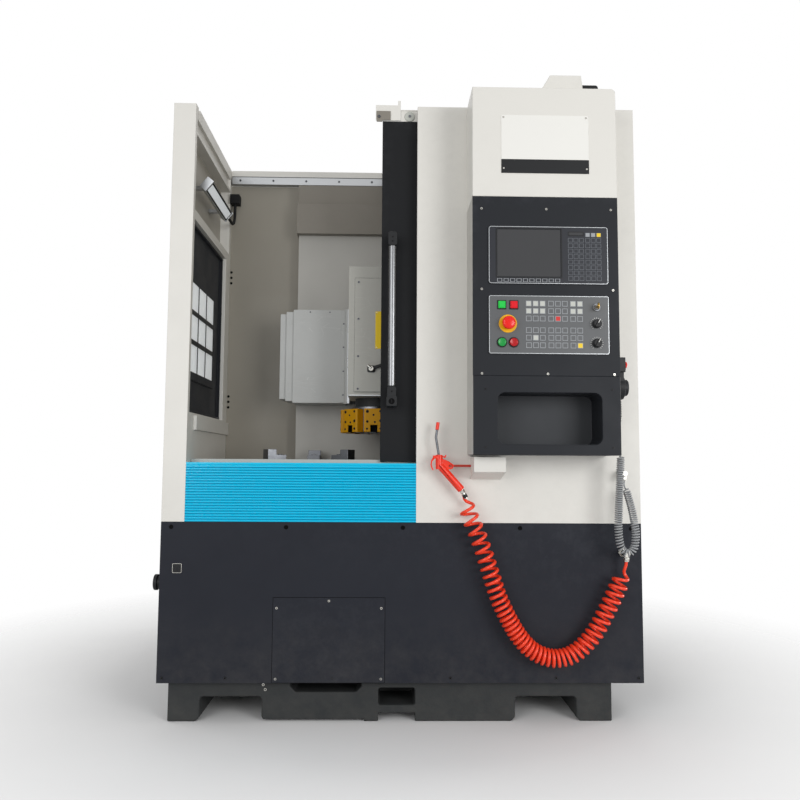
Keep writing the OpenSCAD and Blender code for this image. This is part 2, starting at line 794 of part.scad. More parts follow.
module hmi_front_plate() {
    color("#34373a")
        difference() {
            box(hmi_l, hmi_r, hmi_y, hmi_y + sheet, seam_z, hmi_top);
            for (z = [scr_z, op_z])
                box(unit_x + 10, unit_x + unit_w - 10, hmi_y - 1, hmi_y + sheet + 1, z + 10,
                    z + unit_h - 10);
        }
}

module screen_unit() {
    color("#b9bcbf")
        difference() {
            union() {
                soft_y(unit_x, unit_x + unit_w, scr_z, scr_z + unit_h, face_y, hmi_y, 8);
                box(unit_x + 10, unit_x + unit_w - 10, hmi_y - 1, hmi_y + 45, scr_z + 10,
                    scr_z + unit_h - 10);
            }
            box(unit_x + 27, unit_x + 242, face_y - 1, face_y + 2, scr_z + 23, scr_z + unit_h - 9);
        }
}

// Places of the operator panel's controls, as x and z from its lower left corner
power_at = [[43, 163], [83, 163]];
cycle_at = [[43, 38], [82, 38]];
estop_at = [63, 100];
knob_at = [[unit_w - 42, 102], [unit_w - 42, 37]];
lock_at = [unit_w - 42, 157];

module operator_panel() {
    color("#c3c6c8")
        difference() {
            union() {
                soft_y(unit_x, unit_x + unit_w, op_z, op_z + unit_h, face_y, hmi_y, 6);
                box(unit_x + 10, unit_x + unit_w - 10, hmi_y - 1, hmi_y + 45, op_z + 10, op_z + unit_h - 10);
                for (p = cycle_at)
                    rod_y(unit_x + p[0], op_z + p[1], face_y - 4, face_y + 1, button_r + 3);
                for (p = power_at)
                    box(unit_x + p[0] - 15, unit_x + p[0] + 15, face_y - 3, face_y + 1, op_z + p[1] - 15,
                        op_z + p[1] + 15);
                rod_y(unit_x + estop_at[0], op_z + estop_at[1], face_y - 3, face_y + 1, estop_r + 10);
                rod_y(unit_x + lock_at[0], op_z + lock_at[1], face_y - 4, face_y + 1, 13);
            }
            for (p = cycle_at)
                rod_y(unit_x + p[0], op_z + p[1], face_y - 5, face_y + 24, button_r + gap);
            for (p = power_at)
                box(unit_x + p[0] - 12.3, unit_x + p[0] + 12.3, face_y - 5, face_y + 24, op_z + p[1] - 12.3,
                    op_z + p[1] + 12.3);
            rod_y(unit_x + estop_at[0], op_z + estop_at[1], face_y - 5, face_y + 30, 11 + gap);
            for (p = knob_at)
                rod_y(unit_x + p[0], op_z + p[1], face_y - 5, face_y + 22, 4 + run_gap);
            rod_y(unit_x + lock_at[0], op_z + lock_at[1], face_y - 5, face_y + 22, 8 + run_gap);
        }
}

module membrane_keys() {
    color("#e4e5e3") {
        // operator keys
        for (x = [132, 155, 178, 206, 229, 252, 279, 302], z = [29, 54, 79, 118, 143, 168])
            box(unit_x + x - 9.5, unit_x + x + 9.5, face_y - 1.2, face_y, op_z + z - 9.5, op_z + z + 9.5);
        // soft keys under the screen
        for (k = [0 : 9])
            box(unit_x + 28 + 21.4 * k, unit_x + 45 + 21.4 * k, face_y - 1.2, face_y, scr_z + 6, scr_z + 18);
        // two blocks of typing keys
        for (k = [0 : 2], j = [0 : 7])
            box(unit_x + 265 + 18.5 * k, unit_x + 281 + 18.5 * k, face_y - 1.2, face_y, scr_z + 12 + 18.5 * j,
                scr_z + 27 + 18.5 * j);
        for (k = [0 : 2], j = [0 : 8])
            box(unit_x + 323 + 18.5 * k, unit_x + 339 + 18.5 * k, face_y - 1.2, face_y, scr_z + 12 + 18.5 * j,
                scr_z + 27 + 18.5 * j);
    }
}

module estop_button() {
    dome = 8;
    color("#c8201c")
        turned_y(unit_x + estop_at[0], face_y, op_z + estop_at[1],
            concat([[0, -20], [11, -20], [11, 15], [estop_r - 4, 15], [estop_r, 19]],
                [for (a = [0 : 15 : 90]) [estop_r - dome + dome * cos(a), 30 - dome + dome * sin(a)]],
                [[0, 30]]));
}

// Round push-button cap at place p
module round_cap(p) {
    turned_y(unit_x + p[0], face_y, op_z + p[1],
        [[0, -14], [button_r, -14], [button_r, 6], [button_r - 2, 8], [button_r - 4, 8],
            [button_r - 5, 6.5], [0, 6.5]]);
}

module cycle_start_button() {
    color("#1f9d3a")
        round_cap(cycle_at[0]);
}

module cycle_stop_button() {
    color("#c8201c")
        round_cap(cycle_at[1]);
}

// Square push-button cap at place p
module square_cap(p) {
    x = unit_x + p[0];
    z = op_z + p[1];
    soft_y(x - 12, x + 12, z - 12, z + 12, face_y - 5, face_y + 14, 2);
    soft_y(x - 9.5, x + 9.5, z - 9.5, z + 9.5, face_y - 7, face_y - 4, 2);
}

module power_on_button() {
    color("#1f9d3a")
        square_cap(power_at[0]);
}

module power_off_button() {
    color("#c8201c")
        square_cap(power_at[1]);
}

// Override knob with a pointer rib at place p
module override_knob(p) {
    x = unit_x + p[0];
    z = op_z + p[1];
    turned_y(x, face_y, z,
        [[0, 0.5], [knob_r, 0.5], [knob_r, 6], [knob_r - 2, 8], [knob_r - 2, 16], [knob_r - 4, 18], [0, 18]]);
    box(x - 3, x + 3, face_y - 22, face_y - 17, z - knob_r + 3, z + knob_r - 3);
    rod_y(x, z, face_y - 1, face_y + 20, 4);
}

module feed_knob() {
    color("#1c1d1f")
        override_knob(knob_at[0]);
}

module spindle_knob() {
    color("#1c1d1f")
        override_knob(knob_at[1]);
}

module key_switch() {
    x = unit_x + lock_at[0];
    z = op_z + lock_at[1];
    color("#c9a24a") {
        rod_y(x, z, face_y - 6, face_y + 20, 8);
        box(x - 1.2, x + 1.2, face_y - 16, face_y - 5, z - 4, z + 4);
        rod_x(face_y - 24, z, x - 1.2, x + 1.2, 11);
    }
}

module work_lamp() {
    y0 = door_y + door_t + 5;
    y1 = y0 + 360;
    cable_r = 6;
    bend_r = 60;
    bend_y = wall_y - 30 - bend_r;
    color("#c9ccce") {
        // lamp body turned to face the chuck
        difference() {
            translate([lamp_x, y0, lamp_z])
                rotate([0, 40, 0])
                    translate([-13, 0, -22])
                        cube([26, y1 - y0, 44]);
            translate([lamp_x, y0, lamp_z])
                rotate([0, 40, 0])
                    translate([10, 12, -16])
                        cube([4, y1 - y0 - 24, 32]);
        }
        // two brackets on the wall
        for (y = [y0 + 40, y1 - 60])
            box(way_l - 40, lamp_x - 8, y, y + 20, lamp_z - 7, lamp_z + 7);
        // cable that bends up from the rear end to the junction block in the corner
        rod_y(lamp_x, lamp_z, y1 - 5, bend_y, cable_r);
        translate([lamp_x, bend_y, lamp_z + bend_r])
            rotate([90, 0, 90])
                rotate(-90)
                    rotate_extrude(angle = 90, $fn = fn)
                        translate([bend_r, 0])
                            circle(r = cable_r, $fn = 32);
        rod_z(lamp_x, bend_y + bend_r, lamp_z + bend_r, lamp_z + bend_r + 50, cable_r);
        box(lamp_x - 20, lamp_x + 20, bend_y + bend_r - 15, wall_y, lamp_z + bend_r + 45,
            lamp_z + bend_r + 85);
    }
}

module pendant_body() {
    color("#4a4d50") {
        difference() {
            union() {
                box(pend_x, pend_x + 25, pend_y - 40, pend_y + 40, pend_z + 50, pend_z + 99);
                box(pend_x, pend_x + 21, pend_y - 34, pend_y + 34, pend_z, pend_z + 52);
                rod_x(pend_y, pend_z, pend_x, pend_x + 25, 40);
            }
            rod_x(pend_y, pend_z, pend_x + 8, pend_x + 26, 5 + run_gap);
            rod_x(pend_y + 18, pend_z + 65, pend_x + 8, pend_x + 26, 4 + run_gap);
            rod_x(pend_y - 16, pend_z + 76, pend_x + 6, pend_x + 26, 6 + gap);
        }
        // ribbed strain relief
        rod_z(pend_x + 14, pend_y, relief_z, pend_z - 38, 5);
        for (k = [0 : 6])
            rod_z(pend_x + 14, pend_y, relief_z + 6 + 8 * k, relief_z + 10 + 8 * k, 7);
    }
}

module pendant_wheel() {
    color("#2a2b2d") {
        turned_x(pend_x, pend_y, pend_z,
            [[0, 26], [wheel_r - 2, 26], [wheel_r, 28], [wheel_r, 38], [wheel_r - 2, 40], [wheel_r - 5, 40],
                [wheel_r - 8, 38], [8, 38], [7, 36], [0, 36]]);
        rod_x(pend_y, pend_z, pend_x + 10, pend_x + 27, 5);
        // crank nub
        turned_x(pend_x, pend_y + wheel_r - 9, pend_z,
            [[0, 36], [3, 36], [3, 39], [5, 41], [4.4, 46], [5, 50], [4, 52], [0, 52]]);
    }
}

module pendant_knob() {
    color("#2a2b2d") {
        turned_x(pend_x, pend_y + 18, pend_z + 65,
            [[0, 25.5], [8, 25.5], [8, 31], [7, 41], [6, 42], [0, 42]]);
        rod_x(pend_y + 18, pend_z + 65, pend_x + 10, pend_x + 26, 4);
    }
}

module pendant_stop() {
    color("#c8201c")
        turned_x(pend_x, pend_y - 16, pend_z + 76,
            [[0, 12], [6, 12], [6, 29], [9, 29], [11, 31], [11, 33], [9, 35.6], [6, 36.7], [0, 37]]);
}

module gun_holder() {
    color("#e4e1d9")
        difference() {
            box(box_l, box_l + 107, gun_y - 65, front_y, hmi_z - 57, hmi_z - 7);
            box(box_l + 2, box_l + 105, gun_y - 63, front_y + 1, hmi_z - 55, hmi_z - 9);
        }
    // bent rod that the gun hangs on
    color("#c43a22") {
        rod_x(gun_y + 24, gun_z - 4, gun_x + 44, box_l, 4);
        rod_y(gun_x + 44, gun_z - 4, gun_y - 12, gun_y + 24, 4);
        translate([gun_x + 44, gun_y + 24, gun_z - 4])
            sphere(r = 4, $fn = fn);
    }
}

module air_gun() {
    hang = 0.8;
    color("#d2461f") {
        // body, handle and the web with its hanging eye
        rod_xz(gun_x + 5, gun_z - 16, gun_x + 5, gun_z + 33, gun_y, 12);
        rod_xz(gun_x + 10, gun_z - 6, gun_x + 81, gun_z - 85, gun_y, 13);
        difference() {
            run_y(gun_y - 6, gun_y + 6, [[gun_x + 6, gun_z + 24], [gun_x + 36, gun_z + 12],
                [gun_x + 56, gun_z - 2], [gun_x + 50, gun_z - 14], [gun_x + 28, gun_z - 18],
                [gun_x + 6, gun_z - 10]]);
            rod_y(gun_x + 44, gun_z - 4 - hang, gun_y - 7, gun_y + 7, 4 + hang + gap);
        }
        // hook at the top
        run_y(gun_y - 4, gun_y + 4, [[gun_x + 8, gun_z + 27], [gun_x + 26, gun_z + 22],
            [gun_x + 30, gun_z + 32], [gun_x + 25, gun_z + 33], [gun_x + 22, gun_z + 27],
            [gun_x + 8, gun_z + 33]]);
        // pivot ears of the trigger
        for (y = [gun_y - 10, gun_y + 6])
            box(gun_x - 16, gun_x + 3, y, y + 4, gun_z + 20, gun_z + 31);
        rod_y(gun_x - 11, gun_z + 25, gun_y - 10, gun_y + 10, 2);
    }
    // nozzle tube and tip
    color("#b8bbbe") {
        rod_xz(gun_x + 4, gun_z + 30, gun_x - 6, gun_z + 92, gun_y, 4);
        translate([gun_x - 6, gun_y, gun_z + 92])
            sphere(r = 4, $fn = fn);
        rod_xz(gun_x - 6, gun_z + 92, gun_x + 1, gun_z + 144, gun_y, 4);
        rod_xz(gun_x - 2.5, gun_z + 118, gun_x + 1, gun_z + 144, gun_y, 6);
    }
}

module gun_trigger() {
    color("#d2461f")
        difference() {
            run_y(gun_y - 5, gun_y + 5, [[gun_x - 8, gun_z + 29], [gun_x - 15, gun_z + 28],
                [gun_x - 23, gun_z + 12], [gun_x - 25, gun_z], [gun_x - 21, gun_z - 14],
                [gun_x - 17, gun_z - 20], [gun_x - 14, gun_z - 18], [gun_x - 18, gun_z - 10],
                [gun_x - 20.5, gun_z], [gun_x - 19, gun_z + 10],
                [gun_x - 11, gun_z + 19.5]]);
            rod_y(gun_x - 11, gun_z + 25, gun_y - 6, gun_y + 6, 2 + run_gap);
        }
}

module air_hose() {
    color("#e0572a")
        sweep(hose_route, [71, 0, -79], [0, 0, 1], 10);
}

module pendant_cord() {
    color("#b9bbbd")
        sweep(curl_route, [0, 0, -1], [0, 0, 1], 8);
}

module hose_fittings() {
    color("#8d9093") {
        // air outlet elbow on the lower front panel
        rod_y(fit_x, fit_z, fit_y - 11, front_y, 11);
        nut(fit_x, front_y - 12, fit_z, 16, 12, true);
        nut(fit_x, fit_y, fit_z - 22, 12, 8, false);
        rod_z(fit_x, fit_y, fit_z - 27, fit_z, 9);
        // cable gland elbow on the right front panel
        rod_y(gland_x, gland_z, fit_y - 9, front_y, 9);
        nut(gland_x, front_y - 10, gland_z, 14, 10, true);
        nut(gland_x, fit_y, gland_z - 20, 9.5, 7, false);
        rod_z(gland_x, fit_y, gland_z - 24, gland_z, 7);
    }
}

module sliding_door() {
    color("#2f3134")
        difference() {
            box(door_l, door_r, door_y, door_y + door_t, door_z, door_top);
            box(win_l, win_r, door_y - 1, door_y + door_t + 1, win_z0, win_z1);
            box(win_l - 15, win_r + 15, door_y + door_t - 12, door_y + door_t + 1, win_z0 - 15, win_z1 + 15);
            box(door_l - 1, door_r + 1, door_c - 5.3, door_c + 5.3, door_z - 1, sill_z + 12 + gap);
        }
}

module door_window() {
    color("#c9d8de", 0.4)
        box(win_l - 15, win_r + 15, door_y + door_t - 12, door_y + door_t - 2, win_z0 - 15, win_z1 + 15);
}

module door_handle() {
    color("#c6c9cb") {
        rod_z(bar_x, bar_y, bar_z0, bar_z1, handle_r);
        for (z = [bar_z0 - 50, bar_z1])
            soft_y(bar_x - 16, bar_x + 16, z, z + 50, bar_y - 16, door_y, 9);
    }
}

module sliding_roof() {
    z0 = door_top + 1;
    y1 = wall_y - 30;
    color("#e9e6de") {
        // roof sheet with folds on the left and at the front, bolted on the door's top edge
        box(door_l, door_r, door_y, y1, z0 + 40, z0 + 43);
        box(door_l, door_l + sheet, door_y, y1, z0 + 4, z0 + 43);
        box(door_r - sheet, door_r, door_y, y1, z0 + 4, z0 + 43);
        box(door_l, door_r, door_y + 4, door_y + 7, door_top, z0 + 43);
        box(door_l, door_r, door_y + 4, door_y + door_t, door_top, door_top + 3);
        // corner bracket at the open end
        box(door_l - 25, door_l + 1, door_y, door_y + 3, z0 + 2, z0 + 60);
        box(door_l - 1, door_l + 66, door_y, door_y + 5, z0 + 2, z0 + 60);
        box(door_l + 56, door_l + 66, door_y, door_y + 5, z0 + 50, z0 + 77);
        // roof carriages on the rear rail
        for (x = [door_l + 60, door_r - 160])
            difference() {
                box(x, x + 100, y1 - 16, wall_y - 2, beam_z - 4, z0 + 42);
                box(x - 1, x + 101, wall_y - 28 - gap, wall_y, beam_z + 3 - gap, beam_z + 38 + gap);
            }
    }
}

module saddle() {
    color("#8b8f92")
        difference() {
            union() {
                box(sad_l, sad_r, sad_y, col_y - 5, way_z0 + 25, way_z1 - 25);
                box(turret_x - guide_x - 12, turret_x + guide_x + 12, sad_y, col_y - 55, way_z1 - 30,
                    sad_top);
                // two upright rails for the ram
                for (s = [-1, 1])
                    box(turret_x + s * guide_x - 10, turret_x + s * guide_x + 10, sad_y - 20, sad_y + 1,
                        ram_z + 20, sad_top - 5);
            }
            for (z = rail_z)
                box(sad_l - 1, sad_r + 1, col_y - 30 - gap, col_y, z - 15 - gap, z + 15 + gap);
            rod_x(screw_y, screw_z, sad_l - 1, sad_r + 1, 20 + gap);
            // room for the tool blocks to turn when the ram is up
            box(sad_l - 1, sad_r + 1, sad_y - 21, turret_y + swing + 4, way_z0, turret_z1 + 360);
        }
}

// Way cover k of the telescopic set, from the outermost 0 to the innermost 2
module way_cover(k) {
    x = way_l1 - way_step[k];
    o = 8 * k;
    back = k == 2 ? col_y : col_y - 6;
    difference() {
        box(x, x + way_len, way_y + o, back, way_z0 + o, way_z1 - o);
        box(x - 1, x + way_len + 1, way_y + o + 2, col_y + 1, way_z0 + o + 2, way_z1 - o - 2);
    }
    // wiper lip that rides on the next cover
    if (k < 2)
        difference() {
            box(x, x + 4, way_y + o, back, way_z0 + o, way_z1 - o);
            box(x - 1, x + 5, way_y + o + 8 - gap, col_y + 1, way_z0 + o + 8 - gap, way_z1 - o - 8 + gap);
        }
}

module way_cover_outer() {
    color("#b4b6b7") {
        way_cover(0);
        // end frame on the saddle, with a hole for the screw
        difference() {
            box(sad_l - 3, sad_l, way_y, col_y - 36, way_z0, way_z1);
            rod_x(screw_y, screw_z, sad_l - 4, sad_l + 1, 24);
        }
    }
}

module way_cover_middle() {
    color("#b4b6b7")
        way_cover(1);
}

module way_cover_inner() {
    color("#b4b6b7")
        way_cover(2);
}

module x_ball_screw() {
    color("#a9adb1")
        rod_x(screw_y, screw_z, col_l + 2, col_r - 2, 20);
}

module ram() {
    color("#cfccc3")
        difference() {
            union() {
                box(turret_x - ram_w / 2, turret_x + ram_w / 2, ram_y0, ram_y1, ram_z, ram_z + ram_h);
                // screwed cover with its latch lever
                box(turret_x - ram_w / 2 + 24, turret_x + ram_w / 2 - 20, ram_y0 - 4, ram_y0 + 1, ram_z + 16,
                    ram_z + ram_h - 46);
                rod_y(turret_x - 12, ram_z + 102, ram_y0 - 18, ram_y0, 8);
                translate([turret_x - 12, ram_y0 - 18, ram_z + 102])
                    rotate([0, -20, 0])
                        translate([-5, 0, -6])
                            cube([46, 8, 12]);
                // neck of the turret
                rod_z(turret_x, turret_y, neck_z, ram_z + 1, 75);
            }
            for (s = [-1, 1])
                box(turret_x + s * guide_x - 10 - gap, turret_x + s * guide_x + 10 + gap, sad_y - 20 - gap,
                    ram_y1 + 1, ram_z - 1, ram_z + ram_h + 1);
            rod_z(turret_x, turret_y, neck_z - 1, neck_z + 120, 40 + run_gap);
        }
}

module turret_head() {
    color("#5d6165") {
        rod_z(turret_x, turret_y, turret_z1, neck_z + 110, 40);
        rod_z(turret_x, turret_y, turret_z1 - 1, neck_z - 0.5, min(90, core_r - 2));
        translate([turret_x, turret_y, turret_z0 + 4])
            rotate(180 / stations)
                cylinder(r = core_r / cos(180 / stations), h = block_h - 4, $fn = stations);
        rod_z(turret_x, turret_y, turret_z0, turret_z0 + 5, 60);
    }
}

module tool_blocks() {
    half = block_w / 2;
    edge = 5;
    color("#e0b21e")
        for (k = [0 : stations - 1])
            translate([turret_x, turret_y, 0])
                rotate(k * 360 / stations)
                    difference() {
                        translate([0, 0, turret_z0])
                            linear_extrude(block_h)
                                polygon([[core_r, -half], [turret_r - edge, -half], [turret_r, edge - half],
                                    [turret_r, half - edge], [turret_r - edge, half], [core_r, half]]);
                        box(core_r - 1, turret_r + 1, -slot_w / 2, slot_w / 2, turret_z0 - 1,
                            turret_z0 + slot_w);
                    }
}

base_casting();
lower_panels();
front_access_cover();
filler_cap();
spindle_housing();
spindle_motor();
column();
column_cover();
sill_panel();
chip_pan();
left_wall();
back_wall();
right_front_panel();
right_side_shell();
rear_cabinet();
hood();
top_duct();
hmi_box();
hmi_front_plate();
screen_unit();
operator_panel();
membrane_keys();
work_lamp();
pendant_body();
gun_holder();
air_gun();
air_hose();
pendant_cord();
hose_fittings();
way_cover_inner();
sliding_door();
door_window();
door_handle();
sliding_roof();
side_door();
side_door_glass();
saddle();
way_cover_outer();
way_cover_middle();
x_ball_screw();
ram();
turret_head();
tool_blocks();
spindle();
chuck();
chuck_jaw_1();
chuck_jaw_2();
chuck_jaw_3();
estop_button();
cycle_start_button();
cycle_stop_button();
power_on_button();
power_off_button();
feed_knob();
spindle_knob();
key_switch();
pendant_wheel();
pendant_knob();
pendant_stop();
gun_trigger();
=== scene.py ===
import json
import math
from itertools import product
import bpy
import bmesh
from mathutils import Matrix, Vector

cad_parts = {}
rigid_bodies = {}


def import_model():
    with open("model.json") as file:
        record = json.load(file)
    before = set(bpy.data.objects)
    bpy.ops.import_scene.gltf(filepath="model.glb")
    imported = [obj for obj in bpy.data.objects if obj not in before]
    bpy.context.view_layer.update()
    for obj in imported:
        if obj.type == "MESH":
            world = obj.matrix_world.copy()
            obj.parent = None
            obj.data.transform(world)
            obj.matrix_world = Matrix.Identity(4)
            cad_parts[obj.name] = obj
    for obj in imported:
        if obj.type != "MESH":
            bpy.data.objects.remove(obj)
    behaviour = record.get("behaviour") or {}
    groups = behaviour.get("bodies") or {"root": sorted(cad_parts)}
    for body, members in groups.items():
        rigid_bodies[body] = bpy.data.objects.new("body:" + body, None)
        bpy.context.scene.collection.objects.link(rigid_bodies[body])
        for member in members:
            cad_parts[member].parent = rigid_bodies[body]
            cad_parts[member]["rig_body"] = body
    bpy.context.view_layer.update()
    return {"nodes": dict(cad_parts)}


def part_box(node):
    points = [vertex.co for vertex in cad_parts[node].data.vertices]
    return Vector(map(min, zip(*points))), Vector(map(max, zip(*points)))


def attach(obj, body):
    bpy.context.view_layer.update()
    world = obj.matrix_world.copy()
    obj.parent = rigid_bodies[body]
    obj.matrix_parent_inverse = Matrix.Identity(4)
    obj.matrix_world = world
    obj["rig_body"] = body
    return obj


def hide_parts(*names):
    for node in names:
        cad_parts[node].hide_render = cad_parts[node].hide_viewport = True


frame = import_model()
scene = bpy.context.scene
scene.view_settings.view_transform = "Standard"
print("stage 1: frame loaded with", len(frame["nodes"]), "nodes")

# metres and degrees, lens and sensor in millimetres, fitted to the photograph
photoView = {"place": (-0.03275, -3.35207, 0.8813), "pitch": 4.693, "yaw": 1.2355, "roll": 0.3443,
             "lens": 33.75, "sensor": 36, "nearest": 0.05}


def standCamera(view):
    pitch, yaw, roll = (math.radians(view[k]) for k in ("pitch", "yaw", "roll"))
    ahead = Vector((math.sin(yaw) * math.cos(pitch), math.cos(yaw) * math.cos(pitch), math.sin(pitch)))
    level = Vector((math.cos(yaw), -math.sin(yaw), 0))
    up = level.cross(ahead)
    right = level * math.cos(roll) + up * math.sin(roll)
    up = up * math.cos(roll) - level * math.sin(roll)
    camera = bpy.data.objects.new("photoCamera", bpy.data.cameras.new("photoCamera"))
    camera.data.lens, camera.data.sensor_width = view["lens"], view["sensor"]
    camera.data.clip_start = view["nearest"]
    turn = Matrix((right, up, -ahead)).transposed().to_4x4()
    camera.matrix_world = Matrix.Translation(view["place"]) @ turn
    scene.collection.objects.link(camera)
    scene.camera = camera


standCamera(photoView)

# routes run from the fitting to the tool, in millimetres: x, y, z and the outer radius of the coil;
# pitch is the share of the way and the millimetres of one turn there
airHose = {
    "route": [(792, -795, 548, 9), (787, -795, 523, 16), (762, -795, 465, 32), (722, -795, 385, 32),
              (673, -795, 303, 32), (610, -795, 245, 32), (542, -795, 229, 32), (474, -795, 252, 32),
              (418, -795, 311, 32), (362, -795, 417, 32), (330, -795, 512, 32), (294, -795, 620, 32),
              (260, -795, 703, 32), (244, -795, 768, 16), (233, -795, 787, 9)],
    "thick": 11.0, "pitch": [(0, 26), (0.2, 25), (0.36, 17), (0.56, 16), (0.7, 24), (0.86, 36), (1, 36)]}
pendantCable = {
    "route": [(790, -795, 821, 4), (790, -795, 803, 4), (796, -805, 779, 14), (804, -825, 725, 14),
              (807, -840, 680, 14), (809, -845, 645, 14), (802, -845, 600, 14), (781, -845, 582, 14),
              (760, -845, 600, 14), (752, -845, 645, 14), (753, -845, 710, 14), (758, -845, 800, 14),
              (763, -845, 890, 14), (763, -845, 912, 4), (762, -845, 970, 4), (762, -845, 1030, 4)],
    "thick": 5.0, "pitch": [(0, 7.4), (0.2, 7.4), (0.3, 9.4), (0.46, 9.4), (0.55, 7.2), (1, 7.2)]}


def between(table, at):
    for (a, u), (b, v) in zip(table, table[1:]):
        if at <= b:
            return u + (v - u) * (at - a) / (b - a)
    return table[-1][1]


def smoothRoute(route, steps):
    pts = [Vector(p) for p in route]
    line = []
    for i in range(len(pts) - 1):
        a, b, c, d = pts[max(i - 1, 0)], pts[i], pts[i + 1], pts[min(i + 2, len(pts) - 1)]
        for k in range(steps):
            t = k / steps
            line.append(0.5 * (2 * b + (c - a) * t + (2 * a - 5 * b + 4 * c - d) * t * t
                               + (3 * b - a - 3 * c + d) * t ** 3))
    return line + [pts[-1]]


def windCoil(cord, perTurn=14, steps=260, inset=0.4):   # points to a turn, steps to a stretch, room in mm
    line = smoothRoute(cord["route"], steps)
    spots = [p.xyz for p in line]
    run = [0.0]
    for p, q in zip(spots, spots[1:]):
        run.append(run[-1] + (q - p).length)
    slim = cord["route"][0][3]
    wide = max(p[3] for p in cord["route"])
    reach = wide - cord["thick"] / 2 - inset
    side = Vector((0, 1, 0))
    turn, last, lastRun, out = 0.0, 0.0, 0.0, []
    for i in range(1, len(spots) - 1):
        head = (spots[i + 1] - spots[i - 1]).normalized()
        side = (side - head * side.dot(head)).normalized()
        swell = min(max((line[i].w - slim) / (wide - slim), 0), 1)
        swell = swell * swell * (3 - 2 * swell)
        step = run[i] - run[i - 1]
        # the turns open gently at the ends
        turn += 2 * math.pi * step * swell ** 2 / between(cord["pitch"], run[i] / run[-1])
        spot = spots[i] + (side * math.cos(turn) + head.cross(side) * math.sin(turn)) * reach * swell
        if turn - last >= 2 * math.pi / perTurn or run[i] - lastRun >= cord["thick"]:
            out.append(spot)
            last, lastRun = turn, run[i]
    ends = [spots[0], spots[-1]]
    clear = [p for p in out if min((p - e).length for e in ends) > cord["thick"]]
    return [p * 0.001 for p in [ends[0]] + clear + [ends[1]]]


def layCord(name, cord, node):
    points = windCoil(cord)
    data = bpy.data.curves.new(name, "CURVE")
    data.dimensions = "3D"
    data.bevel_depth, data.bevel_resolution, data.use_fill_caps = cord["thick"] / 2000, 2, True
    spline = data.splines.new("POLY")
    spline.points.add(len(points) - 1)
    for spot, p in zip(spline.points, points):
        spot.co = (*p, 1)
    line = bpy.data.objects.new(name + "Line", data)
    scene.collection.objects.link(line)
    mesh = bpy.data.meshes.new_from_object(line.evaluated_get(bpy.context.evaluated_depsgraph_get()))
    bpy.data.objects.remove(line)
    for face in mesh.polygons:
        face.use_smooth = True
    piece = bpy.data.objects.new(name, mesh)
    scene.collection.objects.link(piece)
    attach(piece, "frame")
    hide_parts(node)
    print("   ", name, "has", len(points), "points")
    return piece, points


hosePiece, hosePoints = layCord("coiledAirHose", airHose, "air_hose")
cablePiece, cablePoints = layCord("coiledPendantCable", pendantCable, "pendant_cord")
print("stage 2: camera and cords")

# each lamp: name, place and width in metres, watts; all look at the aim
studio = {"skyForObject": 0.46, "aim": (0, -0.3, 1.1),
          "lamps": [("keyLamp", (-2.2, -4.4, 1.9), 2.6, 51), ("fillLamp", (2.8, -4.4, 1.5), 2.4, 95),
                    ("roofLamp", (-0.2, -0.9, 4.6), 2.2, 10), ("backLamp", (0.3, 5.2, 1.2), 2.6, 90),
                    ("rightLamp", (5.2, 1.6, 1.2), 2.4, 64), ("leftLamp", (-5.2, 1.6, 1.2), 2.4, 64)]}
paleFloor = {"half": 9, "fade": (1.1, 2.4), "mottle": 3.0,
             "tones": ((0.9, 0.9, 0.9, 1), (0.94, 0.94, 0.94, 1))}


def tap(value):   # a node stands for its first output
    return value.outputs[0] if isinstance(value, bpy.types.Node) else value


def put(tree, kind, ins=None, **props):
    made = tree.nodes.new(kind)
    for k, v in props.items():
        setattr(made, k, v)
    for k, v in (ins or {}).items():
        v = tap(v)
        if isinstance(v, bpy.types.NodeSocket):
            tree.links.new(v, made.inputs[k])
        else:
            made.inputs[k].default_value = v
    return made


def calc(tree, operation, *values):
    return put(tree, "ShaderNodeMath", dict(enumerate(values)), operation=operation)


def spread(tree, value, low, high, **more):   # low to high becomes 0 to 1
    return put(tree, "ShaderNodeMapRange", {"Value": value, "From Min": low, "From Max": high, **more})


def speckle(tree, where, scale, detail, **more):
    return put(tree, "ShaderNodeTexNoise", {"Vector": where, "Scale": scale, "Detail": detail, **more})


def blend(tree, share, first, second):   # two colours
    return put(tree, "ShaderNodeMix", {0: share, 6: first, 7: second}, data_type="RGBA").outputs[2]


def linear(colour):   # a colour as seen, 0 to 255, in the linear light that a socket takes
    return tuple(v / 3294.6 if v <= 10.3 else ((v / 255 + 0.055) / 1.055) ** 2.4 for v in colour) + (1.0,)


def lightStudio(s):
    world = bpy.data.worlds.new("studioSky")
    scene.world = world
    world.use_nodes = True
    tree = world.node_tree
    tree.nodes.clear()
    ray = put(tree, "ShaderNodeLightPath").outputs
    seen = calc(tree, "MAXIMUM", ray["Is Camera Ray"], ray["Is Glossy Ray"])
    seen = calc(tree, "MAXIMUM", seen, ray["Is Transmission Ray"])
    dim = put(tree, "ShaderNodeBackground", {"Color": (1, 1, 1, 1), "Strength": s["skyForObject"]})
    white = put(tree, "ShaderNodeBackground", {"Color": (1, 1, 1, 1), "Strength": 1.0})
    both = put(tree, "ShaderNodeMixShader", {0: seen, 1: dim, 2: white})
    put(tree, "ShaderNodeOutputWorld", {"Surface": both})
    for name, place, size, watts in s["lamps"]:
        data = bpy.data.lights.new(name, "AREA")
        data.shape, data.size, data.energy = "DISK", size, watts
        lamp = bpy.data.objects.new(name, data)
        lamp.location = place
        lamp.rotation_euler = (Vector(s["aim"]) - Vector(place)).to_track_quat("-Z", "Y").to_euler()
        scene.collection.objects.link(lamp)


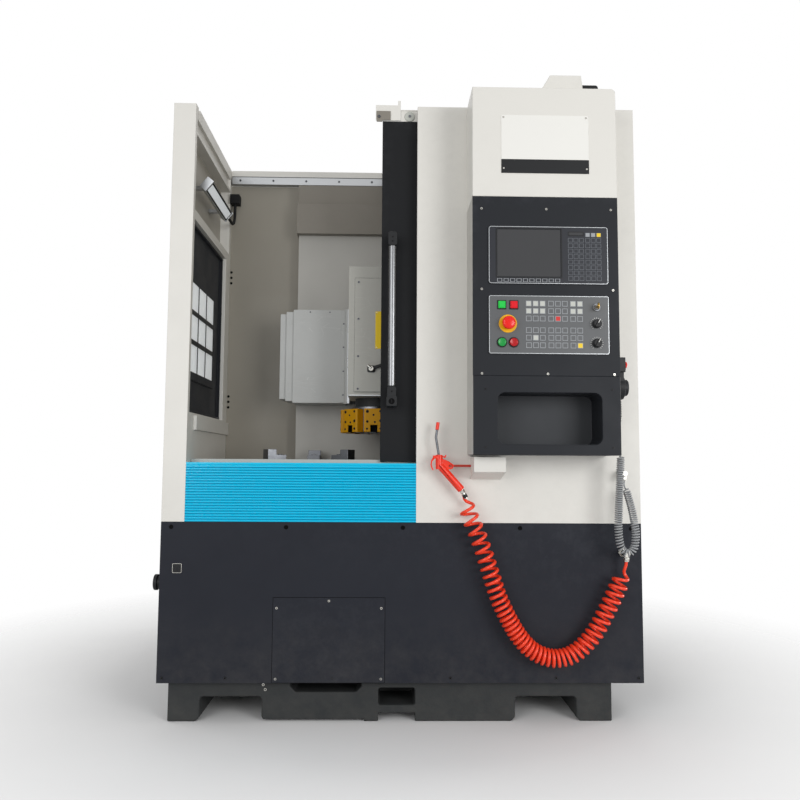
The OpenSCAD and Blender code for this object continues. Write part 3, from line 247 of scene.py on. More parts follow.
def layFloor(f):
    mesh = bpy.data.meshes.new("studioFloor")
    corners = [(x * f["half"], y * f["half"], 0) for x, y in ((-1, -1), (1, -1), (1, 1), (-1, 1))]
    mesh.from_pydata(corners, [], [(0, 1, 2, 3)])
    floor = bpy.data.objects.new("studioFloor", mesh)
    scene.collection.objects.link(floor)
    mat = bpy.data.materials.new("paleFloor")
    mat.use_nodes = True
    tree = mat.node_tree
    tree.nodes.clear()
    where = put(tree, "ShaderNodeTexCoord").outputs["Object"]
    far = put(tree, "ShaderNodeVectorMath", {0: where}, operation="LENGTH").outputs["Value"]
    tint = blend(tree, speckle(tree, where, f["mottle"], 4.0), *f["tones"])
    matt = put(tree, "ShaderNodeBsdfDiffuse", {"Color": tint})
    clear = put(tree, "ShaderNodeBsdfTransparent")
    both = put(tree, "ShaderNodeMixShader", {0: spread(tree, far, *f["fade"]), 1: matt, 2: clear})
    put(tree, "ShaderNodeOutputMaterial", {"Surface": both})
    mesh.materials.append(mat)


lightStudio(studio)
layFloor(paleFloor)
print("stage 3: studio")


def newGroup(name, ins, outs, kind="ShaderNodeTree"):
    tree = bpy.data.node_groups.new(name, kind)
    for label, socket, value in ins:
        made = tree.interface.new_socket(label, in_out="INPUT", socket_type=socket)
        if value is not None:
            made.default_value = value
    for label, socket in outs:
        tree.interface.new_socket(label, in_out="OUTPUT", socket_type=socket)
    return tree, tree.nodes.new("NodeGroupInput").outputs, tree.nodes.new("NodeGroupOutput")


def send(tree, end, **links):
    for label, value in links.items():
        tree.links.new(tap(value), end.inputs[label])


number, arrow = "NodeSocketFloat", "NodeSocketVector"


def buildPaintSkin():   # orange peel and slow drifts of tone
    ins = [("Vector", arrow, None), ("Peel Scale", number, 400.0), ("Patch Scale", number, 4.0)]
    tree, given, end = newGroup("paintSkin", ins, [("Peel", number), ("Patch", number)])
    peel = speckle(tree, given["Vector"], given["Peel Scale"], 2.0)
    patch = speckle(tree, given["Vector"], given["Patch Scale"], 5.0, Roughness=0.62)
    send(tree, end, Peel=peel, Patch=spread(tree, patch, 0.34, 0.66))
    return tree


def buildEdgeRub():   # paint worn or polished along the rounded edges
    ins = [("Vector", arrow, None), ("Break Scale", number, 30.0)]
    tree, given, end = newGroup("edgeRub", ins, [("Rub", number)])
    shape = put(tree, "ShaderNodeNewGeometry")
    ridge = spread(tree, shape.outputs["Pointiness"], 0.56, 0.68)
    noise = speckle(tree, given["Vector"], given["Break Scale"], 6.0, Roughness=0.7)
    send(tree, end, Rub=calc(tree, "MULTIPLY", ridge, spread(tree, noise, 0.46, 0.62)))
    return tree


def buildSettledDust():   # dust that lies on ledges and low down
    ins = [("Vector", arrow, None), ("Low", number, 0.0), ("High", number, 0.4)]
    tree, given, end = newGroup("settledDust", ins, [("Dust", number)])
    height = put(tree, "ShaderNodeSeparateXYZ", {0: given["Vector"]}).outputs["Z"]
    low = spread(tree, height, given["High"], given["Low"])
    shape = put(tree, "ShaderNodeNewGeometry")
    up = put(tree, "ShaderNodeSeparateXYZ", {0: shape.outputs["Normal"]}).outputs["Z"]
    most = calc(tree, "MAXIMUM", low, spread(tree, up, 0.7, 1.0, **{"To Max": 0.6}))
    clump = spread(tree, speckle(tree, given["Vector"], 14.0, 8.0, Roughness=0.7), 0.35, 0.75)
    send(tree, end, Dust=calc(tree, "MULTIPLY", most, clump))
    return tree


def buildBrushLines():   # drawn or ground lines of metal
    ins = [("Vector", arrow, None), ("Stretch", arrow, (1, 1, 60))]
    tree, given, end = newGroup("brushLines", ins, [("Lines", number)])
    pull = put(tree, "ShaderNodeVectorMath", {0: given["Vector"], 1: given["Stretch"]}, operation="MULTIPLY")
    send(tree, end, Lines=speckle(tree, pull, 12.0, 5.0, Roughness=0.7))
    return tree


def buildScratchMarks():   # thin short scratches
    ins = [("Vector", arrow, None), ("Scale", number, 9.0)]
    tree, given, end = newGroup("scratchMarks", ins, [("Scratch", number)])
    turn = {"Vector": given["Vector"], "Rotation": (0.5, 0.9, 0.6), "Scale": (1, 7, 7)}
    net = {"Vector": put(tree, "ShaderNodeMapping", turn), "Scale": given["Scale"]}
    thin = spread(tree, put(tree, "ShaderNodeTexVoronoi", net, feature="DISTANCE_TO_EDGE"), 0.012, 0.0)
    some = spread(tree, speckle(tree, given["Vector"], 5.0, 2.0), 0.5, 0.62)
    send(tree, end, Scratch=calc(tree, "MULTIPLY", thin, some))
    return tree


groups = {"skin": buildPaintSkin(), "rub": buildEdgeRub(), "dust": buildSettledDust(),
          "lines": buildBrushLines(), "scratch": buildScratchMarks()}


def sheen(colour, tone, rough, peel, bump, **more):
    return dict(colour=colour, tone=tone, rough=rough, peel=peel, bump=bump, **more)


# each row: colour as seen, how much darker the patches are, smoothest and roughest, bumps to the metre,
# bump in mm; then rub = colour of worn edges, dust = amount, lowest and highest place in metres
finishes = {
    "whiteEnamel": sheen((221, 219, 213), 0.019, (0.32, 0.42), 520, 0.03,
                         rub=(196, 194, 188), dust=(0.08, 0.68, 0.9)),
    # the chamber's grey-beige, darkened for the shade inside the chamber: partly its own colour, partly
    # painted shade
    "chamberPaint": sheen((153, 148, 137), 0.027, (0.35, 0.5), 480, 0.03, dust=(0.16, 0.69, 1.0)),
    "linerWhite": sheen((198, 195, 187), 0.022, (0.36, 0.48), 480, 0.03),
    # painted shade: a brown-grey for the shaded head box and roof tie block
    "headPaint": sheen((127, 122, 113), 0.027, (0.4, 0.55), 480, 0.03, rub=(140, 134, 124)),
    # the box's charcoal made darker for the door: painted shade where the door sits in the chamber's shade
    "doorCharcoal": sheen((26, 27, 29), 0.038, (0.42, 0.54), 1100, 0.08, rub=(58, 59, 62), spec=0.14),
    "columnPaint": sheen((181, 179, 173), 0.03, (0.35, 0.5), 480, 0.03, rub=(168, 166, 160)),
    "slidePaint": sheen((177, 178, 176), 0.023, (0.34, 0.48), 420, 0.04, rub=(150, 150, 146), scratch=0.25),
    "ramPaint": sheen((172, 171, 164), 0.023, (0.34, 0.48), 420, 0.04, rub=(150, 149, 143), scratch=0.25),
    "charcoalTexture": sheen((36, 38, 45), 0.046, (0.48, 0.62), 900, 0.12,
                             rub=(66, 68, 74), dust=(0.08, 0.1, 0.4), spec=0.16),
    "charcoalSmooth": sheen((36, 38, 42), 0.038, (0.4, 0.52), 1100, 0.08, rub=(64, 66, 72), spec=0.16),
    # a mid grey: painted light on the back of the box's pocket, a painted shadow line along the roof rail,
    # and the ram cover's seam
    "pocketGrey": sheen((66, 68, 71), 0.038, (0.5, 0.62), 1100, 0.08, spec=0.2),
    "castingPaint": sheen((50, 52, 53), 0.05, (0.5, 0.68), 150, 0.35,
                          rub=(88, 86, 82), dust=(0.08, 0.0, 0.2), spec=0.2),
    "greyCasting": sheen((120, 123, 126), 0.057, (0.45, 0.65), 170, 0.4, rub=(160, 160, 158)),
    "cyanEnamel": sheen((0, 189, 227), 0.03, (0.14, 0.24), 900, 0.004, coat=0.2, spec=0.3),
    "cyanShade": sheen((0, 145, 187), 0.03, (0.2, 0.3), 900, 0.004, spec=0.2),
    "turretYellow": sheen((194, 138, 0), 0.046, (0.34, 0.5), 420, 0.05,
                          rub=(128, 122, 108), scratch=0.3, spec=0.25),
    "groundSteel": sheen((176, 178, 180), 0.053, (0.22, 0.42), 900, 0.01,
                         metal=1.0, lines=(3, 3, 60), scratch=0.35),
    "turnedSteel": sheen((160, 162, 165), 0.061, (0.22, 0.4), 900, 0.012,
                         metal=1.0, lines=(8, 8, 90), scratch=0.4),
    "hardSteel": sheen((104, 106, 110), 0.076, (0.28, 0.46), 800, 0.015,
                       metal=1.0, rub=(190, 190, 192), scratch=0.5),
    "stainlessBar": sheen((124, 125, 127), 0.023, (0.22, 0.34), 700, 0.008, metal=1.0, lines=(40, 40, 2)),
    "nickelPlate": sheen((190, 188, 182), 0.03, (0.16, 0.3), 600, 0.01, metal=1.0),
    "zincPlate": sheen((178, 180, 182), 0.053, (0.3, 0.45), 300, 0.02, metal=1.0),
    "brassKey": sheen((196, 160, 78), 0.046, (0.24, 0.4), 500, 0.01, metal=1.0, scratch=0.4),
    "lampAlloy": sheen((186, 189, 192), 0.023, (0.3, 0.4), 700, 0.01, metal=0.9, lines=(40, 2, 40)),
    "blackPlastic": sheen((26, 27, 29), 0.057, (0.36, 0.5), 1500, 0.05, rub=(62, 63, 66), spec=0.3),
    "blackRubber": sheen((20, 20, 21), 0.076, (0.62, 0.8), 700, 0.06, spec=0.25),
    "panelFoil": sheen((40, 42, 48), 0.023, (0.36, 0.46), 2200, 0.03, spec=0.3),
    "panelGrey": sheen((84, 86, 88), 0.02, (0.36, 0.46), 2200, 0.03),
    "silverTrim": sheen((184, 187, 190), 0.019, (0.24, 0.34), 700, 0.01, metal=0.85),
    "whiteKey": sheen((222, 222, 218), 0.019, (0.4, 0.5), 1800, 0.02),
    "paleKey": sheen((188, 190, 183), 0.019, (0.4, 0.5), 1800, 0.02),
    "greyKey": sheen((150, 153, 157), 0.019, (0.4, 0.5), 1800, 0.02),
    "darkKey": sheen((102, 106, 112), 0.023, (0.4, 0.5), 1800, 0.02),
    "yellowKey": sheen((236, 200, 14), 0.023, (0.38, 0.48), 1800, 0.02),
    "redKey": sheen((198, 36, 30), 0.023, (0.38, 0.48), 1800, 0.02),
    "redLamp": sheen((222, 14, 32), 0.03, (0.2, 0.3), 900, 0.015, spec=0.35),
    "deepRed": sheen((176, 8, 16), 0.03, (0.2, 0.3), 900, 0.015, coat=0.15, spec=0.35),
    "greenLamp": sheen((34, 200, 76), 0.03, (0.22, 0.32), 900, 0.015, spec=0.35),
    "redGloss": sheen((232, 24, 12), 0.03, (0.2, 0.3), 900, 0.015, coat=0.15, spec=0.35),
    "greenGloss": sheen((14, 146, 60), 0.03, (0.22, 0.32), 900, 0.015, coat=0.15, spec=0.35),
    "yellowRing": sheen((236, 178, 20), 0.019, (0.34, 0.44), 1500, 0.02, spec=0.35),
    "orangeGloss": sheen((238, 50, 24), 0.038, (0.22, 0.34), 600, 0.03, coat=0.15, scratch=0.3, spec=0.4),
    "hosePlastic": sheen((244, 66, 34), 0.046, (0.2, 0.32), 500, 0.02, coat=0.2, spec=0.4),
    "cableGrey": sheen((150, 152, 154), 0.03, (0.38, 0.5), 900, 0.02),
    "redRod": sheen((190, 52, 34), 0.038, (0.3, 0.42), 600, 0.02, rub=(120, 110, 104)),
    # near-black: painted shade inside holes, slots and drive recesses, and the black of plugs and seams
    "darkHole": sheen((8, 8, 9), 0.114, (0.6, 0.8), 500, 0.02, spec=0.1),
    "blankPlate": sheen((232, 231, 226), 0.015, (0.3, 0.38), 800, 0.01),
    "screenGlass": sheen((42, 43, 46), 0.114, (0.05, 0.12), 60, 0.0, coat=0.5),
    "paleLens": sheen((226, 230, 232), 0.019, (0.3, 0.4), 1400, 0.03, glow=0.25),
    # the panes' faint glow is painted light, making them look lit from behind
    "frostedPane": sheen((232, 234, 234), 0.015, (0.4, 0.52), 900, 0.04, clear=0.35, glow=0.17),
    "tintedGlass": sheen((150, 160, 164), 0.019, (0.02, 0.08), 40, 0.0, clear=1.0),
}

# for all finishes: patches to the metre, dust, how much lighter a scratch is, clear coat and bend of light
common = {"patches": 5.0, "dust": (158, 152, 142), "dustRough": 0.9, "scratch": 60, "coatRough": 0.12,
          "bend": 1.45}


def mixFinish(name, look):
    mat = bpy.data.materials.new(name)
    mat.use_nodes = True
    tree = mat.node_tree
    tree.nodes.clear()
    where = put(tree, "ShaderNodeTexCoord").outputs["Object"]

    def use(group, **values):
        made = tree.nodes.new("ShaderNodeGroup")
        made.node_tree = groups[group]
        tree.links.new(where, made.inputs["Vector"])
        for k, v in values.items():
            made.inputs[k.replace("_", " ")].default_value = v
        return made.outputs

    base = linear(look["colour"])
    dark = tuple(c * (1 - look["tone"]) for c in base[:3]) + (1.0,)
    skin = use("skin", Peel_Scale=look["peel"], Patch_Scale=common["patches"])
    colour = blend(tree, skin["Patch"], base, dark)
    drift, height = skin["Patch"], skin["Peel"]
    if "lines" in look:
        drift = height = use("lines", Stretch=look["lines"])["Lines"]
    smooth, coarse = look["rough"]
    rough = put(tree, "ShaderNodeMapRange", {"Value": drift, "To Min": smooth, "To Max": coarse})
    if "rub" in look:
        colour = blend(tree, use("rub")["Rub"], colour, linear(look["rub"]))
    if "scratch" in look:
        cut = calc(tree, "MULTIPLY", use("scratch")["Scratch"], look["scratch"])
        bright = linear([min(c + common["scratch"], 255) for c in look["colour"]])
        colour = blend(tree, cut, colour, bright)
    if "dust" in look:
        amount, low, high = look["dust"]
        film = calc(tree, "MULTIPLY", use("dust", Low=low, High=high)["Dust"], amount)
        colour = blend(tree, film, colour, linear(common["dust"]))
        rough = put(tree, "ShaderNodeMix", {0: film, 2: rough, 3: common["dustRough"]}, data_type="FLOAT")
    bsdf = put(tree, "ShaderNodeBsdfPrincipled", {
        "Base Color": colour, "Roughness": rough, "Metallic": look.get("metal", 0.0),
        "Coat Weight": look.get("coat", 0.0), "Coat Roughness": common["coatRough"], "IOR": common["bend"],
        "Transmission Weight": look.get("clear", 0.0), "Specular IOR Level": look.get("spec", 0.5)})
    if look["bump"]:
        relief = {"Height": height, "Strength": 1.0, "Distance": look["bump"] * 0.001}
        tree.links.new(put(tree, "ShaderNodeBump", relief).outputs[0], bsdf.inputs["Normal"])
    if "glow" in look:
        tree.links.new(colour, bsdf.inputs["Emission Color"])
        bsdf.inputs["Emission Strength"].default_value = look["glow"]
    put(tree, "ShaderNodeOutputMaterial", {"Surface": bsdf})
    return mat


paint = {name: mixFinish(name, look) for name, look in finishes.items()}
hosePiece.data.materials.append(paint["hosePlastic"])
cablePiece.data.materials.append(paint["cableGrey"])
print("stage 4:", len(paint), "finishes")


sharpFrom = {"bevel": 30, "piece": 50, "field": 35}   # degrees between two faces


def soften(piece, width, segments=2):   # rounds the edges, then makes the result a plain mesh
    if width:
        bevel = piece.modifiers.new("edgeRound", "BEVEL")
        bevel.width, bevel.segments, bevel.limit_method = width * 0.001, segments, "ANGLE"
        bevel.angle_limit, bevel.use_clamp_overlap = math.radians(sharpFrom["bevel"]), False
    for face in piece.data.polygons:
        face.use_smooth = True
    piece.data.set_sharp_from_angle(angle=math.radians(sharpFrom["piece"]))
    even = piece.modifiers.new("evenNormals", "WEIGHTED_NORMAL")
    even.keep_sharp = True
    flatten(piece)


def flatten(piece):
    shaped = piece.evaluated_get(bpy.context.evaluated_depsgraph_get())
    mesh = bpy.data.meshes.new_from_object(shaped)
    old = piece.data
    piece.modifiers.clear()
    piece.data = mesh
    mesh.name = piece.name
    bpy.data.meshes.remove(old)


def settle(piece, body, node):
    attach(piece, body)
    if node:
        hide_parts(node)
    return piece


def addPiece(name, bm, finish, body, width=0.0, node=None):
    mesh = bpy.data.meshes.new(name)
    bm.to_mesh(mesh)
    bm.free()
    for f in ([finish] if isinstance(finish, str) else finish):
        mesh.materials.append(paint[f])
    piece = bpy.data.objects.new(name, mesh)
    scene.collection.objects.link(piece)
    soften(piece, width)
    return settle(piece, body, node)


# on the back wall, the upper height starts a painted shadow along the top of the roof rail
paintLines = {"back_wall": (2087.5, 2120.5)}   # heights in mm where the paint of a flat face changes


# the CAD shape with rounded edges; rules paint faces by their place in mm and their normal
def skinNode(node, width, finish, *rules, merge=2e-6, flat=0.4):
    bm = bmesh.new()
    bm.from_mesh(frame["nodes"][node].data)
    bmesh.ops.remove_doubles(bm, verts=bm.verts, dist=merge)
    bmesh.ops.dissolve_limit(bm, angle_limit=math.radians(flat), verts=bm.verts, edges=bm.edges)
    for height in paintLines.get(node, ()):
        everything = bm.verts[:] + bm.edges[:] + bm.faces[:]
        bmesh.ops.bisect_plane(bm, geom=everything, plane_no=(0, 0, 1), plane_co=(0, 0, height * 0.001))
    for face in bm.faces:
        face.material_index = 0
        spot, way = face.calc_center_median() * 1000, face.normal
        for i, (_, test) in enumerate(rules):
            if test(spot, way):
                face.material_index = i + 1
    words = node.split("_")
    name = words[0] + "".join(w.capitalize() for w in words[1:])
    looks = [finish] + [r[0] for r in rules]
    return addPiece(name, bm, looks, frame["nodes"][node]["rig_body"], width, node)


# millimetres: left edge, face and lower edges of the two panels, and the face of the plate round them
desk = {"left": 310.5, "face": -920, "screen": 1470, "panel": 1236, "wide": 399, "tall": 195, "plate": -915}
deskY, plateY = desk["face"], desk["plate"]


def onPanel(x, z):
    return (desk["left"] + x, deskY, desk["panel"] + z)


def onScreen(x, z):
    return (desk["left"] + x, deskY, desk["screen"] + z)


def raised(p, spot=None, reach=0):   # stands out of the panels, within reach of a spot if given
    return p.y < deskY - 0.2 and (spot is None or math.dist((p.x, p.z), (spot[0], spot[2])) < reach)


stopAt, keyAt = onPanel(63, 100), onPanel(357, 157)
# node: edge radius in mm, finish, then finishes of some faces; p is a face's middle in mm and n its normal
dressing = {
    "base_casting": (4, "castingPaint"),
    "lower_panels": (0.9, "charcoalTexture"),
    "front_access_cover": (0.7, "charcoalTexture"),
    "spindle_housing": (1.5, "greyCasting"),
    "spindle_motor": (1.5, "hardSteel"),
    "column": (1.5, "greyCasting", ("groundSteel", lambda p, n: p.y < -186)),
    # the head box above 1846 mm is painted darker as shade
    "column_cover": (0.9, "columnPaint", ("headPaint", lambda p, n: p.z > 1846)),
    "sill_panel": (0.35, "cyanEnamel",
                   # grooves and lower rib slopes: a darker cyan, painted shade and painted reflection
                   ("cyanShade", lambda p, n: -749.6 < p.y < -746 and n.z < 0.3 and p.z < 866),
                   ("columnPaint", lambda p, n: p.z > 876)),
    "chip_pan": (0.9, "columnPaint"),
    "left_wall": (1.5, "whiteEnamel",
                  ("linerWhite", lambda p, n: p.x > -752 and p.y > -740 and n.y > -0.9),
                  ("zincPlate", lambda p, n: p.x < -791),
                  # the lamp recess's back face is painted in the chamber grey as shade
                  ("chamberPaint", lambda p, n: -752 < p.x < -750 and 1780 < p.z < 2045 and n.x > 0.9)),
    "back_wall": (0.9, "chamberPaint", ("whiteEnamel", lambda p, n: p.z > 2087.6),
                  ("groundSteel", lambda p, n: p.y < -110.5 and p.z > 2087),
                  # a painted shadow line along the top of the roof rail's face
                  ("pocketGrey", lambda p, n: p.y < -137.5 and p.z > 2120.6 and n.y < -0.9)),
    "right_front_panel": (0.9, "whiteEnamel"),
    "right_side_shell": (0.9, "whiteEnamel"),
    "rear_cabinet": (0.8, "whiteEnamel"),
    "hood": (2.5, "whiteEnamel"),
    "top_duct": (2.5, "whiteEnamel", ("blackPlastic", lambda p, n: p.x > 647)),
    "hmi_box": (2.5, "charcoalSmooth",
                # the box's white flanks are painted grey as shade
                ("columnPaint", lambda p, n: abs(n.x) > 0.7 and not 259 < p.x < 744),
                # painted light: a lighter grey on the pocket's back, left wall and floor
                ("pocketGrey", lambda p, n: -913 < p.y < -780 and 935 < p.z < 1115 and min(n.x, n.z) > -0.2),
                ("zincPlate", lambda p, n: p.x > 745.5)),
    "hmi_front_plate": (0.7, "charcoalSmooth"),
    "screen_unit": (1.2, "panelFoil"),
    "operator_panel": (0.8, "panelGrey", ("blackPlastic", lambda p, n: raised(p)),
                       ("yellowRing", lambda p, n: raised(p, stopAt, 31)),
                       ("hardSteel", lambda p, n: raised(p, keyAt, 14))),
    # the door's charcoal is painted darker as shade
    "sliding_door": (1.5, "doorCharcoal"),
    "door_window": (0.8, "tintedGlass"),
    "door_handle": (2.0, "blackPlastic", ("stainlessBar", lambda p, n: 1143 < p.z < 1640)),
    "sliding_roof": (0.9, "whiteEnamel", ("zincPlate", lambda p, n: p.x < 22 and p.y < -699 and p.z > 2122),
                     ("hardSteel", lambda p, n: p.y > -157 and p.z < 2160)),
    "side_door": (1.2, "charcoalSmooth", ("nickelPlate", lambda p, n: p.x < -790.5 and p.y < -600),
                  ("zincPlate", lambda p, n: p.x < -790.5 and p.y > -300)),
    # the panes' glow is painted light
    "side_door_glass": (0.5, "frostedPane"),
    "saddle": (1.5, "greyCasting", ("groundSteel", lambda p, n: p.y < -300.5)),
    "way_cover_outer": (0.7, "slidePaint"),
    "way_cover_middle": (0.7, "slidePaint"),
    "way_cover_inner": (0.7, "slidePaint"),
    "x_ball_screw": (0.5, "groundSteel"),
    "ram": (2.0, "ramPaint", ("blackPlastic", lambda p, n: p.y < -554.6),
            # the ram's neck below 1124 mm is painted dark as shade
            ("castingPaint", lambda p, n: p.z < 1124)),
    "turret_head": (1.2, "hardSteel"),
    "tool_blocks": (1.5, "turretYellow"),
    "spindle": (1.0, "groundSteel"),
    "chuck": (1.0, "turnedSteel"),
    "chuck_jaw_1": (1.0, "hardSteel"),
    "chuck_jaw_2": (1.0, "hardSteel"),
    "chuck_jaw_3": (1.0, "hardSteel"),
    "work_lamp": (0.8, "lampAlloy", ("blackRubber", lambda p, n: p.y > -300 or p.z > 1950)),
    "pendant_body": (2.0, "blackPlastic", ("blackRubber", lambda p, n: p.z < 1094)),
    "gun_holder": (0.9, "whiteEnamel", ("redRod", lambda p, n: p.x < 267.9)),
    "air_gun": (1.5, "orangeGloss", ("hardSteel", lambda p, n: 907 < p.z <= 991)),
    "gun_trigger": (0.8, "orangeGloss"),
    "hose_fittings": (0.7, "nickelPlate"),
    "filler_cap": (1.5, "blackPlastic"),
}
for node, plan in dressing.items():
    skinNode(node, *plan)
print("stage 5:", len(dressing), "nodes dressed")

# across, up and out on a face that looks along the named way
axes = {"-y": ((1, 0, 0), (0, 0, 1), (0, -1, 0)), "+y": ((-1, 0, 0), (0, 0, 1), (0, 1, 0)),
        "+x": ((0, 1, 0), (0, 0, 1), (1, 0, 0)), "-x": ((0, -1, 0), (0, 0, 1), (-1, 0, 0)),
        "+z": ((1, 0, 0), (0, 1, 0), (0, 0, 1)), "-z": ((0, 1, 0), (1, 0, 0), (0, 0, -1))}


def seat(centre, way, u, v, h):   # millimetres on a face that looks along way
    a, b, d = (Vector(p) for p in axes[way])
    return (Vector(centre) + a * u + b * v + d * h) * 0.001


def block(bm, low, high, mat=0):
    low, high = Vector(low) * 0.001, Vector(high) * 0.001
    place = Matrix.Translation((low + high) / 2) @ Matrix.Diagonal((*(high - low), 1))
    made = bmesh.ops.create_cube(bm, size=1.0, matrix=place)
    for face in {f for v in made["verts"] for f in v.link_faces}:
        face.material_index = mat


def join(bm, rings, mat):   # walls between rings of the same count, or to a single tip
    for a, b in zip(rings, rings[1:]):
        n = max(len(a), len(b))
        for i in range(n):
            loop = [a[i % len(a)], a[(i + 1) % n % len(a)], b[(i + 1) % n % len(b)], b[i % len(b)]]
            loop = [v for k, v in enumerate(loop) if v not in loop[:k]]
            if len(loop) > 2:
                bm.faces.new(loop).material_index = mat


def circle(radius, count):
    return [(radius * math.cos(2 * math.pi * k / count), radius * math.sin(2 * math.pi * k / count))
            for k in range(count)]


def turned(bm, outline, centre, way, steps=36, mat=0):   # outline: radius and height pairs, tip to foot
    rings = []
    for radius, high in outline:
        ring = [(0, 0)] if radius < 1e-6 else circle(radius, steps)
        rings.append([bm.verts.new(seat(centre, way, u, v, high)) for u, v in ring])
    join(bm, rings, mat)


def rounded(wide, tall, radius, n=4):
    spots = []
    for i, (sx, sy) in enumerate(((1, 1), (-1, 1), (-1, -1), (1, -1))):
        for k in range(n + 1):
            a = math.radians(90 * i + 90 * k / n)
            spots.append((sx * (wide / 2 - radius) + radius * math.cos(a),
                          sy * (tall / 2 - radius) + radius * math.sin(a)))
    return spots


def slab(bm, outline, centre, way, low, high, mat=0, hole=None):   # a plate, or a frame round a hole
    def ring(points, level):
        return [bm.verts.new(seat(centre, way, u, v, level)) for u, v in points]

    top, foot = ring(outline, high), ring(outline, low)
    if hole:
        join(bm, [foot, top, ring(hole, high), ring(hole, low), foot], mat)
    else:
        join(bm, [foot, top], mat)
        bm.faces.new(top).material_index = mat
        bm.faces.new(foot[::-1]).material_index = mat


def pipe(bm, points, radius, sides=12, mat=0):   # millimetres
    pts = [Vector(p) * 0.001 for p in points]
    side, rings = None, []
    for i, p in enumerate(pts):
        head = (pts[min(i + 1, len(pts) - 1)] - pts[max(i - 1, 0)]).normalized()
        side = head.orthogonal() if side is None else side - head * side.dot(head)
        side = side.normalized()
        other = head.cross(side)
        rings.append([bm.verts.new(p + side * u + other * v) for u, v in circle(radius * 0.001, sides)])
    join(bm, rings, mat)
    bm.faces.new(rings[0][::-1]).material_index = mat
    bm.faces.new(rings[-1]).material_index = mat


def make(name, finish, body, width, *shapes, node=None, slot=None):   # a shape is a function and its values
    bm = bmesh.new()
    for shape, *args in shapes:
        shape(bm, *args)
    bmesh.ops.recalc_face_normals(bm, faces=bm.faces)
    return addPiece(name, bm, finish, body, width, node)


whole, matter, form = "NodeSocketInt", "NodeSocketMaterial", "NodeSocketGeometry"


def geoTree(name, ins):
    ins = [("Geometry", form, None)] + ins
    tree, given, end = newGroup(name, ins, [("Geometry", form)], "GeometryNodeTree")
    tree.is_modifier = True
    return tree, given, end


def standOn(tree, given, shape):   # puts the shape on every point, turned to the point's own way
    ways = put(tree, "GeometryNodeInputNamedAttribute", {"Name": "way"}, data_type="FLOAT_VECTOR")
    turn = put(tree, "FunctionNodeAlignRotationToVector", {"Vector": ways}, axis="Z")
    plan = {"Points": given["Geometry"], "Instance": shape, "Rotation": turn}
    return put(tree, "GeometryNodeRealizeInstances", {0: put(tree, "GeometryNodeInstanceOnPoints", plan)})


def dress(tree, shape, finish, **chosen):
    return put(tree, "GeometryNodeSetMaterial", {"Geometry": shape, "Material": finish, **chosen})


def standInTwo(tree, given, shape, part, first, second):   # as standOn, with a second finish on a part of it
    keep = {"Geometry": shape, "Name": "part", "Value": part}
    kept = put(tree, "GeometryNodeStoreNamedAttribute", keep, data_type="BOOLEAN", domain="FACE")
    skin = dress(tree, standOn(tree, given, kept), given[first])
    marked = put(tree, "GeometryNodeInputNamedAttribute", {"Name": "part"}, data_type="BOOLEAN")
    return dress(tree, skin, given[second], Selection=marked)


def push(tree, shape, part, amount):
    return put(tree, "GeometryNodeExtrudeMesh", {"Mesh": shape, "Selection": part, "Offset Scale": amount})


def shrink(tree, shape, part, share):
    return put(tree, "GeometryNodeScaleElements", {"Geometry": shape, "Selection": part, "Scale": share})


# the drive hole's inside is painted near-black as shade
def buildCapScrews():   # a domed head with a dark drive hole
    tree, given, end = geoTree("capScrews", [
        ("Head Radius", number, 0.005), ("Head Height", number, 0.003), ("Drive Share", number, 0.5),
        ("Sides", whole, 18), ("Head Finish", matter, None), ("Drive Finish", matter, None)])
    head = put(tree, "GeometryNodeMeshCone", {
        "Vertices": given["Sides"], "Radius Top": calc(tree, "MULTIPLY", given["Head Radius"], 0.82),
        "Radius Bottom": given["Head Radius"], "Depth": given["Head Height"]})
    rim = push(tree, head, head.outputs["Top"], 0.0)
    inner = shrink(tree, rim, rim.outputs["Top"], given["Drive Share"])
    hole = push(tree, inner, rim.outputs["Top"], calc(tree, "MULTIPLY", given["Head Height"], -0.55))
    well = {0: hole.outputs["Top"], 1: hole.outputs["Side"]}
    dark = put(tree, "FunctionNodeBooleanMath", well, operation="OR")
    send(tree, end, Geometry=standInTwo(tree, given, hole, dark, "Head Finish", "Drive Finish"))
    return tree


def buildKeyCaps():   # a low square cap with an outlined face
    tree, given, end = geoTree("keyCaps", [
        ("Size", arrow, (0.016, 0.015, 0.0012)), ("Face Share", number, 0.78),
        ("Line Finish", matter, None), ("Face Finish", matter, None)])
    cap = put(tree, "GeometryNodeMeshCube", {"Size": given["Size"]})
    half = put(tree, "ShaderNodeVectorMath", {0: given["Size"], 1: (0, 0, 0.5)}, operation="MULTIPLY")
    cap = put(tree, "GeometryNodeTransform", {"Geometry": cap, "Translation": half})
    up = put(tree, "ShaderNodeSeparateXYZ", {0: put(tree, "GeometryNodeInputNormal")})
    top = put(tree, "FunctionNodeCompare", {0: up.outputs["Z"], 1: 0.5}, operation="GREATER_THAN")
    rim = push(tree, shrink(tree, cap, top, 0.93), top, 0.0)
    face = shrink(tree, rim, rim.outputs["Top"], given["Face Share"])
    send(tree, end, Geometry=standInTwo(tree, given, face, rim.outputs["Top"], "Line Finish", "Face Finish"))
    return tree


